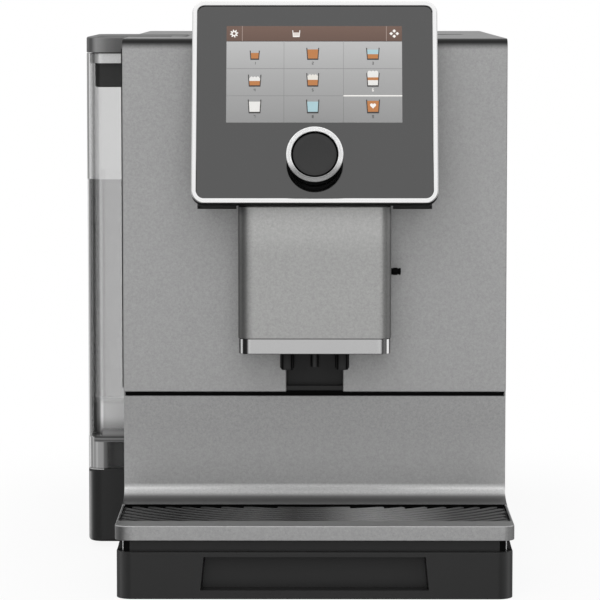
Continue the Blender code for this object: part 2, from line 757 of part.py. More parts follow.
def make_top_cover():
    """Flat top with openings for the hopper and the chute, and a notch for the tank's lid."""
    front = TOP_WRAP + FIT
    plan = [(BODY_LEFT, front), (BODY_RIGHT, front), (BODY_RIGHT, BODY_DEPTH), (BODY_LEFT, BODY_DEPTH),
            (BODY_LEFT, RECESS_BACK), (RECESS_X, RECESS_BACK), (RECESS_X, RECESS_FRONT),
            (BODY_LEFT, RECESS_FRONT)]
    hopper = rectangle((GRINDER_X - HOPPER_WIDTH / 2, GRINDER_Y - HOPPER_LENGTH / 2),
                       (GRINDER_X + HOPPER_WIDTH / 2, GRINDER_Y + HOPPER_LENGTH / 2))
    chute = rectangle((CHUTE_X - CHUTE_WIDTH / 2, CHUTE_Y - CHUTE_LENGTH / 2),
                      (CHUTE_X + CHUTE_WIDTH / 2, CHUTE_Y + CHUTE_LENGTH / 2))
    outline_piece("top_cover", "XY", [plan, hopper, chute], COVER_UNDERSIDE, BODY_HEIGHT,
                  METALLIC_GREY)


def make_side_panels():
    """Left panel folded round the tank's recess, and the right panel with its service opening."""
    fold = RECESS_FOLD
    plan = [(BODY_LEFT, SIDE_FRONT), (INSIDE_LEFT, SIDE_FRONT), (INSIDE_LEFT, RECESS_FRONT - PANEL_WALL),
            (fold, RECESS_FRONT - PANEL_WALL), (fold, RECESS_BACK + PANEL_WALL),
            (INSIDE_LEFT, RECESS_BACK + PANEL_WALL), (INSIDE_LEFT, SIDE_BACK), (BODY_LEFT, SIDE_BACK),
            (BODY_LEFT, RECESS_BACK), (RECESS_X, RECESS_BACK), (RECESS_X, RECESS_FRONT),
            (BODY_LEFT, RECESS_FRONT)]
    left = outline_piece("side_panel_left", "XY", [plan], PANEL_UNDERSIDE, SIDE_TOP, METALLIC_GREY)
    cut(left, drill((0, VALVE_Y, SUCTION_HEIGHT), HOSE_HOLE_RADIUS, RECESS_X - OVERRUN,
                    fold + OVERRUN, "X"))
    outer = rectangle((SIDE_FRONT, PANEL_UNDERSIDE), (SIDE_BACK, SIDE_TOP))
    opening = rectangle((COVER_FRONT, COVER_LOW), (COVER_FRONT + COVER_LENGTH, COVER_LOW + COVER_HEIGHT))
    outline_piece("side_panel_right", "YZ", [outer, opening], INSIDE_RIGHT, BODY_RIGHT, METALLIC_GREY)
    edge = rectangle((COVER_FRONT + RUN, COVER_LOW + RUN),
                     (COVER_FRONT + COVER_LENGTH - RUN, COVER_LOW + COVER_HEIGHT - RUN))
    cover = outline_piece("service_cover", "YZ", [edge], INSIDE_RIGHT, BODY_RIGHT, METALLIC_GREY)
    set_origin(cover, (BODY_RIGHT, COVER_FRONT + COVER_LENGTH / 2, COVER_LOW + COVER_HEIGHT / 2))


def make_rear_panel():
    """Rear panel with air slots, the mains opening and posts for the power board."""
    outer = rectangle((BODY_LEFT, PANEL_UNDERSIDE), (BODY_RIGHT, SIDE_TOP))
    mains = rectangle((INLET_LEFT - FIT, INLET_LOW - FIT),
                      (INLET_LEFT + INLET_WIDTH + FIT, INLET_LOW + INLET_HEIGHT + FIT))
    vents = []
    for i in range(VENT_COUNT):
        low = VENT_LOW + i * VENT_PITCH
        vents.append(rectangle((GRINDER_X - VENT_WIDTH / 2, low),
                               (GRINDER_X + VENT_WIDTH / 2, low + VENT_HEIGHT)))
    panel = outline_piece("rear_panel", "XZ", [outer, mains, *vents], REAR_INSIDE, BODY_DEPTH,
                          DARK_PLASTIC)
    for x, z in board_corners():
        join(panel, drill((x, 0, z), STANDOFF_RADIUS, REAR_INSIDE - BOARD_STANDOFF,
                          REAR_INSIDE + PANEL_WALL / 2, "Y"))


def board_corners():
    """Where the power board's four posts stand."""
    xs = (BOARD_LEFT + STANDOFF_INSET, BOARD_LEFT + BOARD_WIDTH - STANDOFF_INSET)
    zs = (BOARD_LOW + STANDOFF_INSET, BOARD_LOW + BOARD_HEIGHT - STANDOFF_INSET)
    return [(x, z) for x in xs for z in zs]


def make_drawer_bay():
    """Roof, side walls and front flanges of the bay that the drip drawer slides into."""
    roof_top = BAY_ROOF_LOW + BAY_WALL
    edge = INSIDE_RIGHT - FIT
    front = SIDE_FRONT
    bay = box("drawer_bay", (-edge, front, BAY_ROOF_LOW), (edge, RECESS_FRONT - PANEL_WALL - FIT, roof_top),
              DARK_PLASTIC)
    back_half = BAY_HALF + BAY_WALL
    join(bay, block((-back_half, front, BAY_ROOF_LOW), (edge, BAY_BACK, roof_top)))
    low = CHASSIS_TOP + FIT
    for side in (-1, 1):
        inner, outer = sorted((side * BAY_HALF, side * back_half))
        join(bay, block((inner, front, low), (outer, BAY_BACK, roof_top)))
        inner, outer = sorted((side * BAY_HALF, side * edge))
        join(bay, block((inner, front, low), (outer, front + BAY_WALL, roof_top)))


def make_drawer():
    """Swept drawer front with its lip frame, the drip tray, the grille and the grounds container."""
    sweep = arc((-SWEEP_DEPTH, LIP_TOP + SWEEP_HEIGHT), (SWEEP_DEPTH, SWEEP_HEIGHT),
                0, -math.pi / 2, SWEEP_STEPS)
    section = [(PANEL_WALL, PANEL_GAP_LOW), (0, PANEL_GAP_LOW), *sweep, (-LIP_REACH, LIP_TOP),
               (-LIP_REACH, LIP_LOW), (PANEL_WALL, LIP_LOW)]
    half = LIP_WIDTH / 2
    mesh = outline_mesh("YZ", [section], -half, half)
    mesh = rounded_mesh(mesh, LIP_CORNER, lambda middle, way: abs(way.z) > 0.9
                        and middle.y < -LIP_REACH + WELD)
    front = hang("drawer_front", mesh, METALLIC_GREY)
    well = GRILLE_LOW - FIT
    cut(front, block((-GRILLE_HALF, GRILLE_FRONT, well), (GRILLE_HALF, GRILLE_BACK, LIP_TOP + OVERRUN)),
        block((-GRILLE_HALF + GRILLE_LEDGE, GRILLE_FRONT + GRILLE_LEDGE, LIP_LOW - OVERRUN),
              (GRILLE_HALF - GRILLE_LEDGE, GRILLE_BACK - GRILLE_LEDGE, well + OVERRUN)))
    set_origin(front, (0, -LIP_REACH, LIP_TOP))
    make_tray()
    make_grille()
    make_grounds_container()


def make_tray():
    """Dark drip tray: front block with a finger grip, set-back neck and a basin under the body."""
    half = TRAY_WIDTH / 2
    front = -LIP_REACH + TRAY_SETBACK
    back = -RUN
    tray = box("drip_tray", (-half, front, TRAY_UNDERSIDE), (half, back, TRAY_BLOCK_TOP), DARK_PLASTIC,
               "Z", TRAY_CORNER, lambda middle: middle.y < front + TRAY_CORNER)
    neck = half - NECK_SETBACK
    rear = TRAY_REAR_HALF
    join(tray, block((-neck, front + NECK_SETBACK, TRAY_BLOCK_TOP - OVERRUN), (neck, back, TRAY_TOP),
                     "Z", NECK_CORNER, lambda middle: middle.y < front + TRAY_CORNER),
         block((-rear, back - TRAY_WALL, TRAY_REAR_LOW), (rear, TRAY_BACK, TRAY_TOP)))
    cut(tray, block((-neck + TRAY_WALL, front + TRAY_FRONT_WALL, TRAY_FLOOR_TOP),
                    (neck - TRAY_WALL, back - TRAY_WALL, TRAY_TOP + OVERRUN)),
        block((-rear + TRAY_WALL, front + TRAY_FRONT_WALL + TRAY_WALL, TRAY_FLOOR_TOP),
              (rear - TRAY_WALL, TRAY_BACK - TRAY_WALL, TRAY_TOP + OVERRUN)))
    low_half = GRIP_WIDTH / 2
    top_half = low_half - GRIP_SLANT
    grip = [(-low_half, GRIP_LOW), (low_half, GRIP_LOW), (top_half, GRIP_TOP), (-top_half, GRIP_TOP)]
    cut(tray, hang("grip", outline_mesh("XZ", [grip], front - OVERRUN, front + GRIP_DEPTH), None))
    set_origin(tray, (0, -LIP_REACH, LIP_TOP))


def make_grille():
    """Drip grille with a row of slots, seated in the lip frame."""
    half = GRILLE_HALF - RUN
    low = (-half, GRILLE_FRONT + RUN)
    high = (half, GRILLE_BACK - RUN)
    pitch = (high[0] - low[0]) / GRILLE_SLOTS
    slot = pitch * GRILLE_SLOT_SHARE
    end = (high[1] - low[1]) * GRILLE_END_SHARE
    slots = []
    for i in range(GRILLE_SLOTS):
        middle = low[0] + pitch * i + pitch / 2
        slots.append(rectangle((middle - slot / 2, low[1] + end), (middle + slot / 2, high[1] - end)))
    grille = outline_piece("drip_grille", "XY", [rectangle(low, high), *slots], GRILLE_LOW, GRILLE_TOP,
                           DARK_PLASTIC)
    set_origin(grille, (0, (GRILLE_FRONT + GRILLE_BACK) / 2, GRILLE_LOW))


def make_grounds_container():
    """Open bin for used coffee, standing in the back of the tray."""
    half = GROUNDS_HALF
    low = TRAY_FLOOR_TOP + FIT
    bin_piece = box("grounds_container", (-half, GROUNDS_FRONT, low), (half, GROUNDS_BACK, GROUNDS_TOP),
                    DARK_PLASTIC, "Z", GROUNDS_CORNER)
    inner = half - GROUNDS_WALL
    cut(bin_piece, block((-inner, GROUNDS_FRONT + GROUNDS_WALL, low + GROUNDS_WALL),
                         (inner, GROUNDS_BACK - GROUNDS_WALL, GROUNDS_TOP + OVERRUN),
                         "Z", GROUNDS_CORNER - GROUNDS_WALL))
    set_origin(bin_piece, (0, (GROUNDS_FRONT + GROUNDS_BACK) / 2, low))


def make_display():
    """Chrome rim, glass, rear housing and the bracket that carries them on the front panel."""
    half = DISPLAY_WIDTH / 2
    rim = box("display_rim", (-half, 0, 0), (half, RIM_DEPTH, DISPLAY_HEIGHT), CHROME, "Y",
              DISPLAY_CORNER, frame=DISPLAY)
    inner = DISPLAY_CORNER - RIM_WIDTH
    cut(rim, block((-half + RIM_WIDTH, -OVERRUN, RIM_WIDTH),
                   (half - RIM_WIDTH, RIM_DEPTH + OVERRUN, DISPLAY_HEIGHT - RIM_WIDTH), "Y", inner,
                   frame=DISPLAY))
    edge = RIM_WIDTH + FIT
    glass = box("display_glass", (-half + edge, GLASS_SINK, edge),
                (half - edge, GLASS_BACK, DISPLAY_HEIGHT - edge), DISPLAY_GLASS, "Y", inner,
                frame=DISPLAY)
    shaft_hole = KNOB_SHAFT_RADIUS + RUN
    middle = (0, 0, KNOB_HEIGHT_ON_FACE)
    cut(glass, drill(middle, shaft_hole, GLASS_SINK - OVERRUN, GLASS_BACK + OVERRUN, "Y", DISPLAY))
    housing = box("display_housing", (-half + HOUSING_INSET, HOUSING_FRONT, HOUSING_LOW_INSET),
                  (half - HOUSING_INSET, HOUSING_BACK, DISPLAY_HEIGHT - HOUSING_INSET), DARK_PLASTIC,
                  "Y", DISPLAY_CORNER - HOUSING_INSET, frame=DISPLAY)
    join(housing, block((-half + edge + RUN, GLASS_BACK + FIT, edge + RUN),
                        (half - edge - RUN, HOUSING_FRONT + OVERRUN, DISPLAY_HEIGHT - edge - RUN),
                        "Y", inner, frame=DISPLAY))
    cut(housing, drill(middle, shaft_hole, GLASS_BACK - OVERRUN,
                       KNOB_SHAFT_DEPTH + KNOB_TRAVEL + RUN + RUN, "Y", DISPLAY))
    relief = SPOUT_WIDTH / 2 + RELIEF_CLEARANCE
    cut(housing, block((-relief, RELIEF_DEPTH, -OVERRUN), (relief, HOUSING_BACK + OVERRUN, RELIEF_RISE),
                       frame=DISPLAY))
    make_display_bracket()
    make_knob()


def display_point(depth, height):
    """Machine Y and Z of a point of the display at a depth and a height on its face."""
    sine, cosine = math.sin(DISPLAY_TILT), math.cos(DISPLAY_TILT)
    return (-DISPLAY_REACH + depth * cosine + height * sine,
            DISPLAY_LOW - depth * sine + height * cosine)


def make_display_bracket():
    """Wedge between the display and the front panel, with a pocket that the spout rises into."""
    back = HOUSING_BACK + FIT
    section = [display_point(back, HOUSING_LOW_INSET), (-FIT, DISPLAY_LOW + BRACKET_RISE),
               (-FIT, BODY_HEIGHT - BRACKET_DROP),
               display_point(back, DISPLAY_HEIGHT - HOUSING_INSET)]
    half = DISPLAY_WIDTH / 2 - HOUSING_INSET
    bracket = outline_piece("display_bracket", "YZ", [section], -half, half, DARK_PLASTIC)
    pocket = SPOUT_WIDTH / 2 + BRACKET_POCKET_CLEARANCE
    cut(bracket, block((-pocket, -DISPLAY_REACH, SPOUT_LOW),
                       (pocket, OVERRUN, SPOUT_TOP + SPOUT_UP + BRACKET_POCKET_CLEARANCE)))


def make_knob():
    """Turn-and-push knob: shaft, dark cap with a dished top, and its chrome ring."""
    centre = (0, 0, KNOB_HEIGHT_ON_FACE)
    radius = KNOB_SHAFT_RADIUS
    shaft_top = KNOB_TOP + KNOB_BORE_FROM_TOP + FIT
    turned("knob_shaft", [(0, KNOB_SHAFT_DEPTH), (radius, KNOB_SHAFT_DEPTH), (radius, shaft_top),
                          (0, shaft_top)], STEEL, centre, "Y", 16, DISPLAY)
    bore = radius + FIT
    ring_seat = KNOB_TOP + KNOB_RING_DEPTH
    dish = KNOB_TOP + KNOB_DISH
    lip = KNOB_RING_BORE - FIT
    turned("knob_cap", [(bore, KNOB_BACK), (KNOB_RADIUS, KNOB_BACK), (KNOB_RADIUS, ring_seat + FIT),
                        (lip, ring_seat + FIT), (lip, KNOB_TOP + FIT), (lip * 0.8, dish - KNOB_DISH / 4),
                        (0, dish), (0, KNOB_TOP + KNOB_BORE_FROM_TOP),
                        (bore, KNOB_TOP + KNOB_BORE_FROM_TOP), (bore, KNOB_BACK)],
           GLOSS_BLACK, centre, "Y", TURN_STEPS, DISPLAY)
    edge = KNOB_RING_DEPTH / 4
    turned("knob_ring", [(KNOB_RING_RADIUS, ring_seat), (KNOB_RING_RADIUS, KNOB_TOP + edge),
                         (KNOB_RING_RADIUS - edge, KNOB_TOP), (KNOB_RING_BORE, KNOB_TOP),
                         (KNOB_RING_BORE, ring_seat)], CHROME, centre, "Y", TURN_STEPS, DISPLAY)


def make_spout():
    """Height-adjustable spout: grey cover, chrome trim, carriage, nozzles and milk connector."""
    half = SPOUT_WIDTH / 2
    back = -SPOUT_PANEL_CLEARANCE
    home = (0, -SPOUT_FRONT, SPOUT_TOP)

    def at_front(middle):
        return middle.y < -SPOUT_FRONT / 2

    cover = box("spout_cover", (-half, -SPOUT_FRONT, SPOUT_LOW), (half, back, SPOUT_TOP), METALLIC_GREY,
                "Z", SPOUT_CORNER, at_front)
    inner = half - SPOUT_WALL
    cut(cover, block((-inner, -SPOUT_FRONT + SPOUT_WALL, SPOUT_LOW - OVERRUN),
                     (inner, OVERRUN, SPOUT_TOP - SPOUT_WALL), "Z", SPOUT_CORNER - SPOUT_WALL, at_front))
    set_origin(cover, home)
    edge = half - TRIM_INSET
    front = -SPOUT_FRONT + TRIM_INSET
    trim = box("spout_trim", (-edge, front, TRIM_LOW), (edge, back, TRIM_TOP), CHROME, "Z",
               SPOUT_CORNER - TRIM_INSET, at_front)
    inner = edge - TRIM_WALL
    cut(trim, block((-inner, front + TRIM_WALL, TRIM_LOW - OVERRUN),
                    (inner, back - TRIM_WALL, TRIM_TOP + OVERRUN)))
    set_origin(trim, home)
    make_carriage(inner - FIT, front + TRIM_WALL + FIT, back - TRIM_WALL - FIT, home)
    for name, side in (("nozzle_left", -1), ("nozzle_right", 1)):
        top = TRIM_LOW + CARRIAGE_FLOOR + NOZZLE_ABOVE
        lip = NOZZLE_RADIUS - NOZZLE_BORE / 3
        turned(name, [(NOZZLE_RADIUS, top), (NOZZLE_RADIUS, NOZZLE_LOW + NOZZLE_BORE / 2),
                      (lip, NOZZLE_LOW), (NOZZLE_BORE, NOZZLE_LOW), (NOZZLE_BORE, top)],
               GLOSS_BLACK, (side * NOZZLE_SPACING / 2, -NOZZLE_REACH, 0), steps=20)
    start = half + FIT
    turned("milk_connector", [(0, start + MILK_LENGTH), (MILK_RADIUS, start + MILK_LENGTH),
                              (MILK_RADIUS, start), (0, start)],
           GLOSS_BLACK, (0, -MILK_REACH, SPOUT_TOP - MILK_DROP), "X", 16)


def make_carriage(half, front, back, home):
    """Carriage inside the spout: floor with nozzle holes, column and the neck in the guide."""
    low = TRIM_LOW + FIT
    floor = low + CARRIAGE_FLOOR
    neck = CHANNEL_WIDTH / 2 - RUN - FIT
    carriage = box("spout_carriage", (-half, front, low), (half, back, floor), DARK_PLASTIC)
    neck_low = SPOUT_LOW + NECK_LOW_MARGIN
    neck_top = SPOUT_TOP - NECK_TOP_MARGIN
    join(carriage, block((-neck, back - COLUMN_DEPTH, floor - OVERRUN), (neck, back, neck_top)),
         block((-neck, back - OVERRUN, neck_low), (neck, CHANNEL_DEPTH - RUN, neck_top)),
         drill((0, -NOZZLE_REACH, 0), CENTRE_NOZZLE_RADIUS, TRIM_LOW - CENTRE_NOZZLE_BELOW, floor - FIT))
    hole = NOZZLE_RADIUS + FIT
    for side in (-1, 1):
        cut(carriage, drill((side * NOZZLE_SPACING / 2, -NOZZLE_REACH, 0), hole, low - OVERRUN,
                            floor + OVERRUN))
    set_origin(carriage, home)


def make_spout_rail():
    """Dark guide channel behind the front panel's slot."""
    half = CHANNEL_WIDTH / 2
    low = BAY_ROOF_LOW + BAY_WALL + FIT
    front = PANEL_WALL + FIT
    rail = box("spout_rail", (-half - RAIL_FLANGE, front, low),
               (half + RAIL_FLANGE, CHANNEL_DEPTH + RAIL_WALL, CHANNEL_TOP + RAIL_FLANGE), DARK_PLASTIC)
    cut(rail, block((-half, front - OVERRUN, low - OVERRUN), (half, CHANNEL_DEPTH, CHANNEL_TOP)))


def make_tank():
    """Clear tank with its lid and outlet valve, and the dark base that it stands on."""
    tank = box("water_tank", (TANK_LEFT, TANK_FRONT, TANK_LOW), (TANK_RIGHT, TANK_BACK, TANK_TOP),
               CLEAR_PLASTIC, "Z", TANK_CORNER)
    inner = ((TANK_LEFT + TANK_WALL, TANK_FRONT + TANK_WALL), (TANK_RIGHT - TANK_WALL, TANK_BACK - TANK_WALL))
    inner_corner = TANK_CORNER - TANK_WALL
    cut(tank, block((*inner[0], TANK_FLOOR_TOP), (*inner[1], TANK_TOP + OVERRUN), "Z", inner_corner),
        block((*inner[0], TANK_LOW - OVERRUN), (*inner[1], TANK_FLOOR_TOP - TANK_FLOOR), "Z", inner_corner),
        drill((TANK_MIDDLE, VALVE_Y, 0), TANK_VALVE_RADIUS + FIT, TANK_FLOOR_TOP - TANK_FLOOR - OVERRUN,
              TANK_FLOOR_TOP + OVERRUN))
    set_origin(tank, (TANK_MIDDLE, (TANK_FRONT + TANK_BACK) / 2, TANK_LOW))
    head = TANK_FLOOR_TOP + FIT
    turned("tank_valve", [(0, head + TANK_VALVE_HEAD_WALL), (TANK_VALVE_HEAD, head + TANK_VALVE_HEAD_WALL),
                          (TANK_VALVE_HEAD, head), (TANK_VALVE_RADIUS, head),
                          (TANK_VALVE_RADIUS, head - TANK_VALVE_STEM), (0, head - TANK_VALVE_STEM)],
           RUBBER, (TANK_MIDDLE, VALVE_Y, 0), steps=20)
    make_tank_lid()
    base = box("tank_base", (TANK_LEFT, TANK_FRONT, TANK_BASE_LOW), (TANK_RIGHT, TANK_BACK, TANK_BASE_TOP),
               DARK_PLASTIC, "Z", TANK_CORNER)
    margin = TANK_BOSS_MARGIN
    join(base, block((TANK_LEFT + margin, TANK_FRONT + margin, TANK_BASE_TOP - OVERRUN),
                     (TANK_RIGHT - margin, TANK_BACK - margin, TANK_BOSS_TOP), "Z", TANK_CORNER - TANK_WALL),
         block((TANK_RIGHT - TANK_CORNER, TANK_FRONT + TANK_CORNER, TANK_BASE_LOW),
               (RECESS_X - FIT, TANK_BACK - TANK_CORNER, TANK_BASE_TOP - OVERRUN)))
    cut(base, drill((TANK_MIDDLE, VALVE_Y, 0), TANK_SOCKET_RADIUS, TANK_BASE_TOP - TANK_SOCKET_RADIUS,
                    TANK_BOSS_TOP + OVERRUN))


def make_tank_lid():
    """Tank lid with a finger tub hanging under it, hinged at its upper back edge."""
    over = LID_OVERHANG
    lid = box("tank_lid", (TANK_LEFT, TANK_FRONT - over, LID_LOW), (TANK_RIGHT + over, LID_BACK, LID_TOP),
              LID_GREY, "Z", TANK_CORNER)
    wall = TANK_WALL + LID_GRIP_MARGIN
    tub_low = (TANK_LEFT + wall, TANK_FRONT + LID_GRIP_FRONT)
    tub_high = (TANK_RIGHT - wall, TANK_FRONT + LID_GRIP_FRONT + LID_GRIP_LENGTH)
    join(lid, block((*tub_low, LID_LOW - LID_GRIP_DEPTH), (*tub_high, LID_LOW + OVERRUN), "Z",
                    LID_GRIP_CORNER))
    tub = LID_GRIP_WALL
    cut(lid, block((tub_low[0] + tub, tub_low[1] + tub, LID_LOW - LID_GRIP_DEPTH + tub),
                   (tub_high[0] - tub, tub_high[1] - tub, LID_TOP + OVERRUN), "Z", LID_GRIP_CORNER - tub))
    set_origin(lid, (TANK_MIDDLE, LID_BACK, LID_TOP))


def make_hopper():
    """Bean hopper with its lid, and the powder chute with its flap."""
    half = (HOPPER_WIDTH / 2, HOPPER_LENGTH / 2)
    mouth = (half[0] - FLANGE_IN, half[1] - FLANGE_IN)
    throat = HOPPER_THROAT / 2
    funnel("bean_hopper", (GRINDER_X, GRINDER_Y),
           [(half[0] + FLANGE_OUT, half[1] + FLANGE_OUT, SIDE_TOP), (*mouth, SIDE_TOP),
            (*mouth, SIDE_TOP - HOPPER_STRAIGHT), (throat, throat, HOPPER_LOW + HOPPER_THROAT_DEPTH),
            (throat, throat, HOPPER_LOW)], HOPPER_WALL, CLEAR_PLASTIC)
    make_flush_lid("hopper_lid", (GRINDER_X, GRINDER_Y), half)
    half = (CHUTE_WIDTH / 2, CHUTE_LENGTH / 2)
    mouth = (half[0] - FLANGE_IN, half[1] - FLANGE_IN)
    funnel("powder_chute", (CHUTE_X, CHUTE_Y),
           [(half[0] + FLANGE_OUT, half[1] + FLANGE_OUT, SIDE_TOP), (*mouth, SIDE_TOP),
            (*mouth, BREW_TOP + FIT)], CHUTE_WALL, DARK_PLASTIC)
    make_flush_lid("chute_flap", (CHUTE_X, CHUTE_Y), half)


def make_flush_lid(name, centre, half):
    """A lid flush with the top cover, hinged at its upper back edge."""
    low = (centre[0] - half[0] + RUN, centre[1] - half[1] + RUN, COVER_UNDERSIDE)
    high = (centre[0] + half[0] - RUN, centre[1] + half[1] - RUN, BODY_HEIGHT)
    lid = box(name, low, high, DARK_PLASTIC)
    set_origin(lid, (centre[0], high[1], BODY_HEIGHT))


def make_grinder():
    """Grinder on its shelf: housing, motor, turning lower burr and adjustable upper burr."""
    shelf = box("grinder_shelf", (GRINDER_X - SHELF_WIDTH / 2, GRINDER_Y - SHELF_WIDTH / 2, SHELF_LOW),
                (GRINDER_X + SHELF_WIDTH / 2, REAR_INSIDE - FIT, SHELF_TOP), STEEL)
    axis = (GRINDER_X, GRINDER_Y, 0)
    cut(shelf, drill(axis, SHAFT_HOLE_RADIUS, SHELF_LOW - OVERRUN, SHELF_TOP + OVERRUN))
    floor = GRINDER_LOW + GRINDER_FLOOR
    turned("grinder_housing", [(GRINDER_RADIUS, GRINDER_TOP), (GRINDER_RADIUS, GRINDER_LOW),
                               (SHAFT_HOLE_RADIUS, GRINDER_LOW), (SHAFT_HOLE_RADIUS, floor),
                               (GRINDER_BORE, floor), (GRINDER_BORE, GRINDER_TOP)], DARK_PLASTIC, axis)
    bore = ROTOR_SHAFT_RADIUS + FIT
    neck_low = MOTOR_TOP - MOTOR_NECK
    bore_end = MOTOR_TOP - ROTOR_SHAFT_DEPTH - RUN
    turned("grinder_motor", [(MOTOR_NECK_RADIUS, MOTOR_TOP), (MOTOR_NECK_RADIUS, neck_low),
                             (MOTOR_RADIUS, neck_low - MOTOR_NECK), (MOTOR_RADIUS, MOTOR_LOW),
                             (0, MOTOR_LOW), (0, bore_end), (bore, bore_end), (bore, MOTOR_TOP),
                             (MOTOR_NECK_RADIUS, MOTOR_TOP)], STEEL, axis)
    rises = [floor + rise for rise in LOWER_BURR_RISES]
    shaft_low = MOTOR_TOP - ROTOR_SHAFT_DEPTH
    turned("lower_burr", [(0, rises[3]), (LOWER_BURR_TIP, rises[3]), (LOWER_BURR_SHOULDER, rises[2]),
                          (LOWER_BURR_RADIUS, rises[1]), (LOWER_BURR_RADIUS, rises[0]),
                          (ROTOR_SHAFT_RADIUS, rises[0]), (ROTOR_SHAFT_RADIUS, shaft_low), (0, shaft_low)],
           STEEL, axis)
    outer = GRINDER_BORE - RUN
    burr_low = floor + UPPER_BURR_RISE
    top = burr_low + UPPER_BURR_HEIGHT
    turned("upper_burr", [(outer, top), (outer, burr_low), (UPPER_BURR_MOUTH, burr_low),
                          (UPPER_BURR_THROAT, top)], STEEL, axis)
    adjuster = turned("grind_adjuster", [(ADJUSTER_RADIUS, ADJUSTER_TOP), (ADJUSTER_RADIUS, ADJUSTER_LOW),
                                         (outer, ADJUSTER_LOW), (outer, top + FIT),
                                         (UPPER_BURR_THROAT, top + FIT),
                                         (UPPER_BURR_THROAT, ADJUSTER_TOP)], WHITE_PLASTIC, axis)
    join(adjuster, block((GRINDER_X + GRINDER_BORE, GRINDER_Y - ADJUSTER_ARM_WIDTH / 2, ADJUSTER_LOW),
                         (GRINDER_X + ADJUSTER_ARM, GRINDER_Y + ADJUSTER_ARM_WIDTH / 2, ADJUSTER_TOP)))


def make_brew_unit():
    """Brew frame, cylinder, piston on its carrier, spindle and drive motor."""
    frame = box("brew_frame", (BREW_LEFT, BREW_FRONT, BREW_LOW), (BREW_RIGHT, BREW_BACK, BREW_TOP),
                DARK_PLASTIC)
    front, back = BREW_FRONT + BREW_SIDE, BREW_BACK - BREW_SIDE
    base = BREW_LOW + BREW_BASE
    hole = SPINDLE_RADIUS + RUN
    mouth = CHUTE_WIDTH / 2 - FLANGE_IN
    cut(frame, block((BREW_LEFT - OVERRUN, front, base), (BREW_RIGHT + OVERRUN, back, BREW_SHELF_LOW)),
        block((BREW_LEFT - OVERRUN, front, BREW_SHELF_TOP), (BREW_RIGHT + OVERRUN, back, BREW_TOP - BREW_ROOF)),
        drill((SPINDLE_X, BREW_Y, 0), hole, base - BREW_BASE / 2, BREW_TOP + OVERRUN),
        block((CHUTE_X - mouth, CHUTE_Y - mouth / 2, BREW_TOP - BREW_ROOF - OVERRUN),
              (CHUTE_X + mouth, CHUTE_Y + mouth / 2, BREW_TOP + OVERRUN)))
    axis = (CYLINDER_X, BREW_Y, 0)
    floor = CYLINDER_LOW + CYLINDER_FLOOR
    turned("brew_cylinder", [(CYLINDER_BORE, CYLINDER_TOP), (CYLINDER_RADIUS, CYLINDER_TOP),
                             (CYLINDER_RADIUS, CYLINDER_LOW), (0, CYLINDER_LOW), (0, floor),
                             (CYLINDER_BORE, floor), (CYLINDER_BORE, CYLINDER_TOP)], STEEL, axis)
    head_top = PISTON_LOW + PISTON_HEAD
    rod_top = CARRIER_LOW + CARRIER_WALL / 2
    piston = turned("brew_piston", [(0, rod_top), (PISTON_ROD_RADIUS, rod_top),
                                    (PISTON_ROD_RADIUS, head_top), (PISTON_RADIUS, head_top),
                                    (PISTON_RADIUS, PISTON_LOW), (0, PISTON_LOW)], WHITE_PLASTIC, axis)
    spindle_low = base - BREW_BASE / 2 + FIT
    join(piston, block((SPINDLE_X - CARRIER_END, BREW_Y - CARRIER_WIDTH / 2, CARRIER_LOW),
                       (CYLINDER_X + CARRIER_END, BREW_Y + CARRIER_WIDTH / 2, CARRIER_LOW + CARRIER_WALL)))
    cut(piston, drill((SPINDLE_X, BREW_Y, 0), SPINDLE_RADIUS + FIT, CARRIER_LOW - OVERRUN,
                      CARRIER_LOW + CARRIER_WALL + OVERRUN))
    spindle_top = BREW_TOP + SPINDLE_IN_MOTOR
    axis = (SPINDLE_X, BREW_Y, 0)
    turned("brew_spindle", [(0, spindle_top), (SPINDLE_RADIUS, spindle_top), (SPINDLE_RADIUS, spindle_low),
                            (0, spindle_low)], STEEL, axis, steps=16)
    low = BREW_TOP + FIT
    bore = SPINDLE_RADIUS + FIT
    bore_end = spindle_top + FIT
    top = low + BREW_MOTOR_HEIGHT
    turned("brew_motor", [(0, top), (BREW_MOTOR_RADIUS, top), (BREW_MOTOR_RADIUS, low), (bore, low),
                          (bore, bore_end), (0, bore_end)], STEEL, axis)


